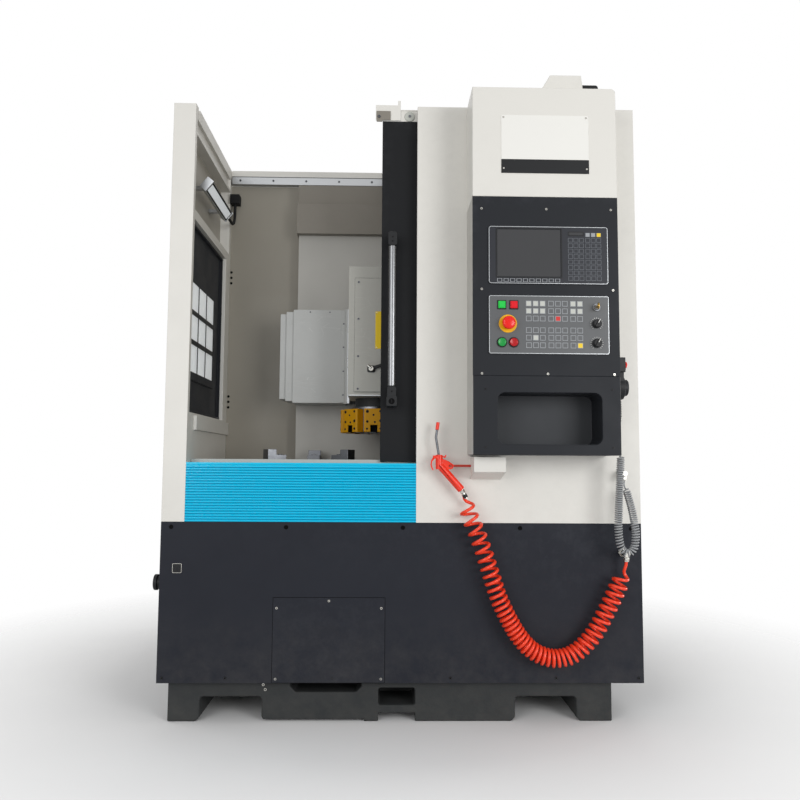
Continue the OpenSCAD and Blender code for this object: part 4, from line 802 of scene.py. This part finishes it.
def buildRingMarks():   # short bars round an arc, for ticks, knurls and finger grips
    tree, given, end = geoTree("ringMarks", [
        ("Count", whole, 11), ("Radius", number, 0.02), ("Start", number, 0.0), ("Sweep", number, 6.2832),
        ("Size", arrow, (0.004, 0.001, 0.0006)), ("Finish", matter, None)])
    share = calc(tree, "DIVIDE", put(tree, "GeometryNodeInputIndex"), given["Count"])
    angle = calc(tree, "MULTIPLY_ADD", share, given["Sweep"], given["Start"])
    spot = {0: calc(tree, "COSINE", angle), 1: calc(tree, "SINE", angle)}
    ring = {0: put(tree, "ShaderNodeCombineXYZ", spot), "Scale": given["Radius"]}
    ring = put(tree, "ShaderNodeVectorMath", ring, operation="SCALE")
    dots = put(tree, "GeometryNodePoints", {"Count": given["Count"], "Position": ring})
    bar = put(tree, "GeometryNodeMeshCube", {"Size": given["Size"]})
    turn = put(tree, "FunctionNodeEulerToRotation", {0: put(tree, "ShaderNodeCombineXYZ", {2: angle})})
    bars = put(tree, "GeometryNodeInstanceOnPoints", {"Points": dots, "Instance": bar, "Rotation": turn})
    dial = put(tree, "GeometryNodeRealizeInstances", {0: bars})
    send(tree, end, Geometry=dress(tree, standOn(tree, given, dial), given["Finish"]))
    return tree


trees = {"capScrews": buildCapScrews(), "keyCaps": buildKeyCaps(), "ringMarks": buildRingMarks()}


def grow(name, tree, spots, body, node=None, slot=None, **values):   # spots are places in mm and their ways
    mesh = bpy.data.meshes.new(name)
    mesh.from_pydata([Vector(p) * 0.001 for p, _ in spots], [], [])
    ways = mesh.attributes.new("way", "FLOAT_VECTOR", "POINT")
    for i, (_, way) in enumerate(spots):
        ways.data[i].vector = axes[way][2] if isinstance(way, str) else way
    piece = bpy.data.objects.new(name, mesh)
    scene.collection.objects.link(piece)
    field = piece.modifiers.new("field", "NODES")
    field.node_group = trees[tree]
    sockets = [s for s in trees[tree].interface.items_tree if s.item_type == "SOCKET" and s.in_out == "INPUT"]
    named = {s.name: s.identifier for s in sockets}
    for label, value in values.items():
        field[named[label.replace("_", " ")]] = paint[value] if isinstance(value, str) else value
    flatten(piece)
    for face in piece.data.polygons:
        face.use_smooth = True
    piece.data.set_sharp_from_angle(angle=math.radians(sharpFrom["field"]))
    return settle(piece, body, node)


def facing(way, level, spots):   # places on the face at this level, from their two other measures
    at = "xyz".index(way[1])
    return [((*s[:at], level, *s[at:]), way) for s in spots]


def screws(name, spots, radius, high, head, share=0.5, body="frame", drive="darkHole", slot="steel"):
    grow(name, "capScrews", spots, body, slot=slot, Head_Radius=radius * 0.001, Head_Height=high * 0.001,
         Drive_Share=share, Sides=18, Head_Finish=head, Drive_Finish=drive)


def darkScrews(name, spots, radius, high, **more):
    screws(name, spots, radius, high, "blackPlastic", slot="black_plastic", **more)


def marks(name, spot, way, body, slot, finish, count, radius, size, start=0, sweep=360):
    grow(name, "ringMarks", [(spot, way)], body, slot=slot, Count=count, Radius=radius * 0.001,
         Start=math.radians(start), Sweep=math.radians(sweep), Size=[v * 0.001 for v in size], Finish=finish)


print("stage 6: shapes and", len(trees), "trees")

sunk = -0.2   # mm: thin plates start this far inside the face they lie on
# thin bright borders
for name, panel, radius in (("screenBorder", onScreen, 8), ("panelBorder", onPanel, 6)):
    outside = rounded(desk["wide"] - 2, desk["tall"] - 2, radius)
    inside = rounded(desk["wide"] - 6, desk["tall"] - 6, radius - 2)
    middle = panel(desk["wide"] / 2, desk["tall"] / 2)
    make(name, "silverTrim", "frame", 0.3, (slab, outside, middle, "-y", sunk, 1.0, 0, inside), slot="steel")
screenMiddle, blankMiddle = onScreen(134.5, 104.5), onScreen(292, 171)
make("screenPane", ["screenGlass", "blackPlastic"], "frame", 0.3,
     (slab, rounded(211, 159, 2), screenMiddle, "-y", -2.0, -1.2, 0),
     (slab, rounded(221, 169, 4), screenMiddle, "-y", sunk, 0.9, 1, rounded(214, 162, 2)),
     slot="black_plastic")
make("blankWindow", ["blackPlastic", "screenGlass"], "frame", 0.3,
     (slab, rounded(54, 15, 3), blankMiddle, "-y", sunk, 0.7, 0),
     (slab, rounded(46, 9, 2), blankMiddle, "-y", 0.6, 0.9, 1), slot="black_plastic")

# columns and rows in mm; faces by group, and the column and row of each key that is not a dark one
keyField = {"x": (132, 155, 178, 206, 229, 252, 279, 302), "z": (168, 143, 118, 79, 54, 29), "high": 1.2,
            "faces": {"whiteKeys": "paleKey", "darkKeys": "panelGrey", "redKeys": "redKey",
                      "yellowKeys": "yellowKey"},
            "odd": {(4, 2): "redKeys", (7, 5): "yellowKeys", (1, 4): "whiteKeys"}}
keyField["odd"].update({spot: "whiteKeys" for spot in product((0, 1, 2, 6, 7), (0, 1))})
# two blocks of keys beside the screen; the right one has a top row in other colours
typing = {"left": (265, 323), "columns": 3, "rows": 8, "start": (8, 19.5), "step": 18.5,
          "top": ("greyKey", "greyKey", "yellowKey")}


def keys(name, spots, size, share, line, face, node=None):   # size is width and height in mm
    grow(name, "keyCaps", [(p, "-y") for p in spots], "frame", node=node, slot="key_pad", Face_Share=share,
         Size=[v * 0.001 for v in (*size, keyField["high"])], Line_Finish=line, Face_Finish=face)


def typingSpot(left, column, row):
    x, z = typing["start"]
    return onScreen(left + x + typing["step"] * column, z + typing["step"] * row)


for name, face in keyField["faces"].items():
    spots = [onPanel(x, z) for c, x in enumerate(keyField["x"]) for r, z in enumerate(keyField["z"])
             if keyField["odd"].get((c, r), "darkKeys") == name]
    node = "membrane_keys" if name == "darkKeys" else None
    keys(name, spots, (19, 19), 0.82, "greyKey", face, node)
keys("softKeys", [onScreen(36.5 + 21.4 * k, 12) for k in range(10)], (17, 12), 0.8, "greyKey", "panelFoil")
spots = [typingSpot(*s) for s in product(typing["left"], range(typing["columns"]), range(typing["rows"]))]
keys("typingKeys", spots, (16, 15), 0.86, "darkKey", "panelFoil")
for k, face in enumerate(typing["top"]):
    keys("topKey%d" % k, [typingSpot(typing["left"][1], k, typing["rows"])], (16, 15), 0.86, "darkKey", face)

mushroom = [(0, 30), (10, 29.7), (16.6, 28.6), (20.4, 26.4), (21.8, 23.4), (21.6, 19.5), (20.2, 16.4),
            (17.6, 15), (11, 15), (11, -20), (0, -20)]
roundCap = [(0, 6.6), (9, 6.6), (10.4, 7.4), (12.6, 8), (13.6, 7.2), (14, 5.4), (14, -14), (0, -14)]
make("stopMushroom", "redGloss", "estop", 0,
     (turned, mushroom, stopAt, "-y", 48), node="estop_button")
for body, x, finish in (("cycle_start", 43, "greenGloss"), ("cycle_stop", 82, "deepRed")):
    make(body.replace("_s", "S") + "Cap", finish, body, 0,
         (turned, roundCap, onPanel(x, 38), "-y", 36), node=body + "_button")
for body, x, finish in (("power_on", 43, "greenLamp"), ("power_off", 83, "redLamp")):
    spot = onPanel(x, 163)
    make(body.replace("_o", "O") + "Cap", finish, body, 0.8,
         (slab, rounded(24, 24, 2.5), spot, "-y", -14, 5.2),
         (slab, rounded(19, 19, 2), spot, "-y", 5, 7), node=body + "_button")

# the override knobs: profile, finger wing and white mark, which point the same way on both
knob = {"turn": math.radians(62), "gripAt": 12.5,
        "profile": [(0, 17.6), (11.4, 17.6), (12.6, 16.4), (13, 8), (14.9, 6), (15, 0.5), (4, 0.5), (4, -20),
                    (0, -20)],
        "wing": [(-12.5, -3.4), (12.5, -3.4), (13.6, 0), (12.5, 3.4), (-12.5, 3.4), (-13.6, 0)],
        "mark": [(1, -1.2), (14, -1.2), (14, 1.2), (1, 1.2)]}


def aimed(outline):
    across, up = math.cos(knob["turn"]), math.sin(knob["turn"])
    return [(across * u - up * v, up * u + across * v) for u, v in outline]


for node, z in (("feed_knob", 102), ("spindle_knob", 37)):
    spot, name = onPanel(357, z), node.replace("_k", "K")
    make(name, ["blackPlastic", "whiteKey"], node, 0.5, (turned, knob["profile"], spot, "-y", 36),
         (slab, aimed(knob["wing"]), spot, "-y", 17, 21.4),
         (slab, aimed(knob["mark"]), spot, "-y", 21.2, 22, 1), node=node)
    marks(name + "Ticks", spot, "-y", "frame", "key_pad", "whiteKey", 15, 19.5, (4.6, 1, 0.8), -50, 300)
    grip = (spot[0], deskY - knob["gripAt"], spot[2])
    marks(name + "Grip", grip, "-y", node, "black_plastic", "blackPlastic", 20, 12.8, (1.6, 1.8, 8))
bladeX, bladeZ, bladeHalf = keyAt[0], keyAt[2], 1.2
make("switchKey", ["brassKey", "hardSteel"], "key_switch", 0.3,
     (turned, [(0, 6), (6.6, 6), (8, 5), (8, -20), (0, -20)], keyAt, "-y", 28, 1),
     (block, (bladeX - bladeHalf, deskY - 16, bladeZ - 4), (bladeX + bladeHalf, deskY - 5.5, bladeZ + 4)),
     (slab, circle(11, 24), (bladeX - bladeHalf, deskY - 24, bladeZ), "+x", 0, 2 * bladeHalf, 0,
      [(u, v + 3) for u, v in circle(4.2, 24)]), node="key_switch")

boxSpots = ((288, 1725), (505, 1725), (722, 1725), (288, 1452), (725, 1452), (288, 1171), (505, 1171),
            (725, 1171))
screws("boxScrews", facing("-y", plateY, boxSpots), 4.6, 2.4, "nickelPlate")
darkScrews("pocketScrews", facing("-y", plateY, product((300, 718), (930, 1120))), 3.4, 1.8)

# the hand pendant on the box's right side: back plane, wheel centre and how far its face stands out
handset = {"x": 748, "y": -845, "z": 1134, "face": 25}


def onHandset(u, v, out=0):
    return (handset["x"] + out, handset["y"] + u, handset["z"] + v)


wheelAt, axisAt, handStopAt = onHandset(0, 0), onHandset(18, 65), (-16, 76)
wheelRim = [(0, 36.5), (6, 36.5), (8, 38), (19, 38), (22, 40), (25.6, 40), (27, 38.4), (27, 27.6), (25.6, 26),
            (5, 26), (5, 10), (0, 10)]
crank = [(0, 52), (3.8, 52), (5, 50.6), (4.4, 45), (5, 40), (3, 38.5), (0, 38.5)]
make("handwheel", ["blackPlastic", "silverTrim"], "pendant_wheel", 0, (turned, wheelRim, wheelAt, "+x", 44),
     (turned, crank, onHandset(18, 0), "+x", 20),
     (turned, [(0, 38.2), (10, 38.2), (10.6, 37.8), (10.6, 36.4), (0, 36.4)], wheelAt, "+x", 32, 1),
     node="pendant_wheel")
marks("wheelGrip", onHandset(0, 0, 33), "+x", "pendant_wheel", "black_plastic", "blackPlastic",
      36, 26.5, (1.8, 2, 10))
marks("wheelTicks", onHandset(0, 0, 25.2), "+x", "frame", "key_pad", "whiteKey", 50, 32.5, (4, 0.7, 0.6))
axisCap = [(0, 42), (6.2, 42), (7.4, 41), (8, 30), (8, 25.5), (4, 25.5), (4, 10), (0, 10)]
make("axisKnob", ["blackPlastic", "whiteKey"], "pendant_knob", 0, (turned, axisCap, axisAt, "+x", 28),
     (slab, [(1, -0.8), (7, -0.8), (7, 0.8), (1, 0.8)], axisAt, "+x", 41.6, 42.4, 1), node="pendant_knob")
handStop = [(0, 37), (6, 36.6), (9.4, 35), (11, 32.8), (10.6, 31.2), (9, 30.7), (6, 30.7), (6, 12), (0, 12)]
make("pendantStop", "redGloss", "pendant_stop", 0, (turned, handStop, onHandset(*handStopAt), "+x", 32),
     node="pendant_stop")
make("stopCollar", "yellowRing", "frame", 0.3,
     (slab, circle(14, 32), onHandset(*handStopAt, handset["face"]), "+x", -0.3, 0.4, 0, circle(6.6, 32)),
     slot="yellow_block")
screws("pendantScrews", [(onHandset(u, v, handset["face"]), "+x") for v in (55, 94) for u in (-35, 35)],
       2.6, 1.4, "zincPlate")

# both cords are seen from end to end; the hose ends in a swivel fitting under the gun, the cable in a ferrule
hoseEnd, hoseWay = hosePoints[-1] * 1000, Vector((-11, 0, 19)).normalized()
# radius and start of each step along the hose
swivel = {"nut": 9, "grip": 8.2,
          "steps": [(5.6, -34), (8.2, -30), (8.2, -20), (6.6, -18), (6.6, -12), (9, -11), (9, -3),
                    (7, -2), (7, 1)]}
cableEnd = pendantCable["route"][-1][:3]
ferrule = [(0, 1.5), (5.6, 1.5), (6, 0.8), (6, -9), (5, -10), (2.6, -10), (2.6, -1), (0, -1)]
ferruleBand = [(6.6, -2), (6.9, -3), (6.9, -5), (6.6, -6), (5.8, -6), (5.8, -2), (6.6, -2)]


def swivelStep(bm, radius, start, stop):
    run = [hoseEnd + hoseWay * start, hoseEnd + hoseWay * stop]
    pipe(bm, run, radius, 6 if radius == swivel["nut"] else 18, 1 if radius == swivel["grip"] else 0)


swivelPiece = make("hoseSwivel", ["nickelPlate", "blackPlastic"], "frame", 0.4,
                   *[(swivelStep, r, a, b) for (r, a), (_, b) in zip(swivel["steps"], swivel["steps"][1:])],
                   slot="steel")
ferrulePiece = make("cableFerrule", ["blackRubber", "nickelPlate"], "frame", 0.4,
                    (turned, ferrule, cableEnd, "+z", 20), (turned, ferruleBand, cableEnd, "+z", 20, 1),
                    slot="black_plastic")
print("stage 7: control box, pendant and cords")

# mm: faces of the front panels, the door, the ram, its cover, and the flange and strip beside the way cover
frontY, doorY, ramY, ramCoverY, flangeY, stripY = -750, -705, -550, -554, -333, -334.5
make("namePlate", ["blankPlate", "blackPlastic"], "frame", 0.5,
     (slab, rounded(296, 202, 6), (503, plateY, 1949), "-y", sunk, 1.6, 0),
     (slab, rounded(296, 48, 2), (503, plateY, 1872), "-y", 1.5, 2.0, 1), slot="white_sheet")
plateSpots = product((363, 643), (1864, 2042))
screws("plateRivets", facing("-y", plateY - 1.8, plateSpots), 3.6, 1.8, "nickelPlate", 0.01)

plugSpots = [(x, 655) for x in (-755, -364, 36, 440, 825)]
screws("panelPlugs", facing("-y", frontY, plugSpots), 7.5, 3, "darkHole", 0.62, slot="black_plastic")
coverSpots = ((-391, 384), (-214, 408), (-36, 384), (-391, 150), (-36, 150))
screws("coverScrews", facing("-y", frontY - 2, coverSpots), 5, 2.4, "nickelPlate")
darkScrews("panelScrews", facing("-y", frontY, product((-772, -560, -200, 200, 560, 842), (152,))), 5, 2.2)
panelLock = (-731, frontY, 516)
make("doorLock", ["nickelPlate", "blackPlastic"], "frame", 0.5,
     (slab, rounded(32, 32, 4), panelLock, "-y", sunk, 2.4, 0, rounded(28.6, 28.6, 3)),
     (slab, rounded(29, 29, 3), panelLock, "-y", sunk, 1.6, 1),
     (turned, [(0, 2.4), (7.4, 2.4), (8, 1.8), (8, 1.2), (0, 1.2)], panelLock, "-y", 24, 1),
     (slab, [(-0.9, -4), (0.9, -4), (0.9, 4), (-0.9, 4)], panelLock, "-y", 2.3, 2.7, 1), slot="steel")


def seam(name, low, high, face, body, finish, slot):   # a thin dark frame round a cover
    wide, tall = high[0] - low[0], high[1] - low[1]
    middle = ((low[0] + high[0]) / 2, face, (low[1] + high[1]) / 2)
    outside, inside = rounded(wide + 3, tall + 3, 1), rounded(wide, tall, 0.5)
    make(name, finish, body, 0, (slab, outside, middle, "-y", sunk, 0.5, 0, inside), slot=slot)


coverLow, coverHigh = (p.xz * 1000 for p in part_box("front_access_cover"))
seam("coverSeam", coverLow, coverHigh, frontY, "frame", "darkHole", "black_plastic")
seam("ramSeam", (-145, 1141), (11, 1574), ramY, "ram", "pocketGrey", "steel")
screws("drainPlugs", facing("-y", -720, ((-428, 107), (-435, 123))), 6, 4, "nickelPlate")

# the air gun's holder: its sloped underside, down to the panel
holder = {"left": 269, "right": 374, "front": -859, "drop": 27}
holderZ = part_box("gun_holder")[0].z * 1000
slope = [(holder["front"], holderZ), (frontY, holderZ - holder["drop"]), (frontY, holderZ)]
make("holderSlope", "whiteEnamel", "frame", 0.6,
     (slab, slope, (0, 0, 0), "+x", holder["left"], holder["right"]), slot="white_sheet")

# right front panel: a rolled left edge
make("rolledEdge", "whiteEnamel", "frame", 0, (pipe, [(84.5, -746.6, 878), (84.5, -746.6, 2153)], 3.4, 16),
     slot="white_sheet")

# roof rail: bolt heads and the end stop; on the door, the block that ties the roof to it and a roller
screws("railBolts", facing("-y", -138, [(x, 2106) for x in range(-669, 820, 144)]), 5, 3, "hardSteel", 0.55)
make("railStop", ["blackRubber", "zincPlate"], "frame", 0.8,
     (block, (-704, -137.5, 2090), (-690, -112, 2124), 1),
     (turned, [(0, 12), (7, 12), (9, 9), (9, 0), (0, 0)], (-690, -124, 2107), "+x", 24, 0),
     slot="black_plastic")
# the tie block's brown-grey is painted shade
tie = {"outline": [(-67, 2157), (-16, 2157), (-16, 2124), (-46, 2124), (-46, 2117), (-67, 2117)], "thick": 4}
make("roofTieBlock", "headPaint", "door", 0.8,
     (slab, tie["outline"], (0, doorY, 0), "-y", sunk, tie["thick"]), slot="steel")
screws("tieBolt", facing("-y", doorY - tie["thick"], [(-58, 2136)]), 6, 3, "hardSteel", body="door")
rollerAt = (54, -701, 2139)
make("doorRoller", ["paleKey", "hardSteel"], "door", 0.6,
     (turned, [(0, 5), (15, 5), (18, 3.6), (19, 0), (19, -6), (0, -6)], rollerAt, "-y", 36, 0),
     (turned, [(0, 7.4), (4.4, 7.4), (5, 6.8), (5, 4.6), (0, 4.6)], rollerAt, "-y", 20, 1),
     slot="black_plastic")

# left rear corner: fixing holes, drawn as thin dark discs of painted shade
cornerZ = (1702, 1678, 1654, 1157, 1134, 1110)
screws("cornerHoles", facing("-y", -110, [(-704, z) for z in cornerZ]), 5.6, 1.2, "darkHole", 0.7,
       slot="black_plastic")

# slide covers, ram and turret
screws("coverPlateScrews", facing("-y", ramCoverY, product((-131, -3), (1558, 1417, 1275, 1152))),
       4.6, 2.2, "hardSteel", body="ram")
make("ramPlate", "yellowKey", "ram", 0.3,
     (slab, rounded(52, 142, 3), (-41, ramCoverY, 1375), "-y", sunk, 1.0), slot="yellow_block")
rivetSpots = product((-62, -20), (1309, 1441))
screws("ramPlateRivets", facing("-y", ramCoverY - 1, rivetSpots), 2.2, 1, "nickelPlate", 0.01, body="ram")
latchAt = (-81, ramCoverY, 1227)
make("latchBase", ["blackPlastic", "nickelPlate"], "ram", 0.8,
     (slab, rounded(30, 26, 6), latchAt, "-y", sunk, 3.2, 0),
     (turned, [(0, 20), (8.6, 20), (9.6, 19), (9.6, 4), (11, 3), (0, 3)], latchAt, "-y", 28, 1),
     (pipe, [(-80, -572, 1227), (-95, -572, 1239)], 5.4, 16, 1), slot="black_plastic")
make("ramFoot", "groundSteel", "ram", 0.8,
     (slab, rounded(194, 5, 1), (-69, ramY, 1128), "-y", sunk, 2), slot="steel")
make("coverFlange", "slidePaint", "saddle", 0.8, (block, (-208, flangeY, 1118), (-192.4, -329.8, 1492)),
     (block, (-196, -331.5, 1112), (-171, -328, 1498)), slot="cover_steel")
make("flangeStrip", "silverTrim", "saddle", 0.6,
     (block, (-182, stripY, 1114), (-172, -331, 1498)), slot="steel")
screws("stripBolts", facing("-y", stripY, [(-177, z) for z in (1260, 1405)]), 4.6, 3, "nickelPlate",
       body="saddle")
flangeSpots = [(-198, z) for z in (1148, 1244, 1342, 1438)]
screws("flangeScrews", facing("-y", flangeY, flangeSpots), 3.6, 1.8, "hardSteel", body="saddle")
screws("coverEdgeScrews", facing("-y", -330, [(-335, 1486), (-255, 1486)]), 3.2, 1.6, "hardSteel",
       body="saddle")

# holes are across, height and radius on each station's face
turret = {"x": -69, "y": -420, "reach": 130, "stations": 8, "foot": 991,
          "holes": [(-25, 1068, 6), (24, 1069, 5), (-2, 1055, 4), (-25, 1030, 5), (3, 1028, 4), (25, 1033, 6),
                    (-26, 1003, 4), (25, 1004, 5)]}
toolSlot = {"half": 13, "deep": (97, 126), "z": (991.5, 1016.5), "skin": 1.2}
faceSpots = []
for c, s in circle(1, turret["stations"]):
    out, side = Vector((c, s, 0)), Vector((-s, c, 0))
    faceSpots += [(Vector((turret["x"], turret["y"], z)) + out * turret["reach"] + side * u, tuple(out), r)
                  for u, z, r in turret["holes"]]
for size in sorted({r for _, _, r in faceSpots}):
    spots = [(p, way) for p, way, r in faceSpots if r == size]
    darkScrews("clampScrews%d" % size, spots, size, 1.0, share=0.66, body="turret")


def leanBlock(bm, low, high, mat, lean):
    before = set(bm.verts)
    block(bm, low, high, mat)
    bmesh.ops.transform(bm, matrix=lean, verts=[v for v in bm.verts if v not in before])


# thin dark plates of painted shade on the back and walls of each tool slot
def slotShadePlate(bm, k):   # dark back and walls of a tool slot
    turn = Matrix.Rotation(2 * math.pi * k / turret["stations"], 4, "Z")
    lean = Matrix.Translation((turret["x"] * 0.001, turret["y"] * 0.001, 0)) @ turn
    (near, far), (foot, top), side, skin = (toolSlot[part] for part in ("deep", "z", "half", "skin"))
    leanBlock(bm, (near, -side, foot), (near + skin, side, top), 0, lean)
    leanBlock(bm, (near, -side, top - skin), (far, side, top), 0, lean)
    for u in (-side, side - skin):
        leanBlock(bm, (near, u, foot), (far, u + skin, top), 0, lean)


make("slotShadePlates", "darkHole", "turret", 0, *[(slotShadePlate, k) for k in range(turret["stations"])],
     slot="black_plastic")
capSpots = [(turret["x"] + u, turret["y"] + v) for u, v in circle(48, 6)]
screws("turretCapBolts", facing("-z", turret["foot"], capSpots), 5, 3, "hardSteel", body="turret")

# chuck bolts and jaw screws; a jaw step is a radius and a height
chuck = {"x": -315, "y": -420, "top": 865, "bolts": 148, "jaws": (90, 210, 330),
         "steps": ((88, 885), (128, 905))}


def onChuck(radius, turn, height):
    a = math.radians(turn)
    return ((chuck["x"] + radius * math.cos(a), chuck["y"] + radius * math.sin(a), height), "+z")


boltTurns = [a + s for a in (30, 150, 270) for s in (-20, 0, 20)]
screws("chuckBolts", [onChuck(chuck["bolts"], a, chuck["top"]) for a in boltTurns], 9, 3, "hardSteel", 0.55,
       body="spindle")
for n, turn in enumerate(chuck["jaws"], 1):
    screws("jawScrews%d" % n, [onChuck(r, turn, z) for r, z in chuck["steps"]], 8, 3, "hardSteel", 0.6,
           body="jaw_%d" % n)

# lamp: lens, end caps and fins, in the lamp's own turned frame
lamp = {"x": -689, "y0": -660, "y1": -300, "z": 1893, "turn": 40}
tilt = (Matrix.Translation((lamp["x"] * 0.001, 0, lamp["z"] * 0.001))
        @ Matrix.Rotation(math.radians(lamp["turn"]), 4, "Y"))
lensLow, lensHigh = lamp["y0"] + 14, lamp["y1"] - 14


def lampBlock(bm, low, high, mat=0):
    leanBlock(bm, low, high, mat, tilt)


make("lampLens", ["paleLens", "blackRubber"], "frame", 0.6,
     (lampBlock, (9.8, lensLow, -14), (12.4, lensHigh, 14), 0),
     *[(lampBlock, (11, lensLow - 6, z), (13.6, lensHigh + 6, z + 5), 1) for z in (-20, 15)],
     *[(lampBlock, (11, y, -20), (13.6, y + 6, 20), 1) for y in (lensLow - 6, lensHigh)], slot="lamp")
make("lampEnds", "lampAlloy", "frame", 1.2,
     *[(lampBlock, (-15, y, -24), (15, y + 8, 24)) for y in (lamp["y0"] - 1, lamp["y1"] - 7)], slot="lamp")
make("lampFins", "lampAlloy", "frame", 0.4,
     *[(lampBlock, (-16.5, lamp["y0"] + 10, z), (-12, lamp["y1"] - 10, z + 3)) for z in range(-19, 20, 7)],
     slot="lamp")

# door: the lock case at the handle's foot, the handle's screws and the window's gasket
caseAt = (-6, doorY, 1089)
make("doorLatch", ["blackPlastic", "darkHole"], "door", 1.0,
     (slab, rounded(37, 33, 4), caseAt, "-y", sunk, 65, 0),
     (turned, [(0, 66.4), (9, 66.4), (10.4, 65.6), (10.4, 64.6), (0, 64.6)], caseAt, "-y", 28, 1),
     (slab, [(-1.2, -6), (1.2, -6), (1.2, 6), (-1.2, 6)], caseAt, "-y", 66.2, 66.8, 0), slot="black_plastic")
darkScrews("handleScrews", facing("-y", -768, [(-6, z) for z in (1124, 1655, 1671)]), 3.6, 1.4, share=0.6,
           body="door")
make("windowGasket", "blackRubber", "door", 0.8,
     (slab, rounded(556, 716, 10), (385, doorY, 1530), "-y", sunk, 3.4, 0, rounded(532, 692, 6)),
     slot="black_plastic")

# side door: thin bars on the glass, and screws on its frame and hinges
pane = {"y": (-685, -324), "z": (1201, 1527), "face": -729}
(paneY, endY), (paneZ, endZ), paneX = pane["y"], pane["z"], pane["face"]
barY = [paneY + k * (endY - paneY) / 3 for k in (1, 2)]
barZ = [paneZ + k * (endZ - paneZ) / 3 for k in (1, 2)]
make("paneBars", "blackPlastic", "side_door", 0.4,
     *[(block, (paneX + sunk, y - 4, paneZ), (paneX + 1.6, y + 4, endZ)) for y in barY],
     *[(block, (paneX + sunk, paneY, z - 9), (paneX + 1.4, endY, z + 9)) for z in barZ], slot="black_plastic")
sideDoorSpots = product((-713, -460, -197), (1058, 1300, 1500, 1732))
darkScrews("sideDoorScrews", facing("+x", -724, sideDoorSpots), 2.6, 1.2, body="side_door")
screws("hingeScrews", facing("-x", -793, product((-216, -202), (1201, 1631))), 3.4, 1.8, "zincPlate",
       body="side_door")

# sides and back: flush screws along the sheets' edges and quarter-turn locks on the two rear covers
sheets = {"right": 860, "left": -790, "back": 750, "roof": 2086}
sheetScrew = {"radius": 6, "flush": 0.8, "proud": 1.6}
flat, flush, proud = sheetScrew["radius"], sheetScrew["flush"], sheetScrew["proud"]
sideRows, hingeEdge = (696, 1378, 2060), -170
sideSpots = list(product((-715, -390, -60, 290, 370, 710), sideRows))
clearOfDoor = [(y, z) for y, z in sideSpots if z != sideRows[1] or y > hingeEdge]
skirtSpots = list(product((-715, -360, 0, 360, 715), (160, 650)))
backSkirtSpots = product((-760, -360, 35, 430, 830), (160, 650))
rearCovers, inset = ((-760, 5), (65, 830)), 16
rearX = [x for a, b in rearCovers for x in (a + inset, (a + b) / 2, b - inset)]
rearSpots = product(rearX, (728, 2030))
screws("rightScrews", facing("+x", sheets["right"], sideSpots), flat, flush, "zincPlate")
screws("leftScrews", facing("-x", sheets["left"], clearOfDoor), flat, proud, "zincPlate")
darkScrews("skirtScrewsRight", facing("+x", sheets["right"], skirtSpots), flat, flush)
darkScrews("skirtScrewsLeft", facing("-x", sheets["left"], skirtSpots), flat, proud)
darkScrews("skirtScrewsBack", facing("+y", sheets["back"], backSkirtSpots), flat, flush)
screws("rearCoverScrews", facing("+y", sheets["back"], rearSpots), flat, flush, "zincPlate")
lockSpots = [(x, sheets["back"], z) for x in (-18, 88) for z in (1050, 1379, 1708)]
quarterTurn = [(0, 0.9), (12.4, 0.9), (13.4, 0.5), (13.4, -1), (0, -1)]
# each lock's slot is a thin dark plate of painted shade
make("rearLocks", ["nickelPlate", "darkHole"], "frame", 0,
     *[(turned, quarterTurn, p, "+y", 32, 0) for p in lockSpots],
     *[(slab, rounded(3, 15, 1.4), p, "+y", 0.6, 1.1, 1) for p in lockSpots], slot="steel")
roofSpots = product((-770, -380, 35, 450, 840), (352, 728))
screws("roofScrews", facing("+z", sheets["roof"], roofSpots), flat, 2, "zincPlate")
print("stage 8: enclosure, slides and lamp")
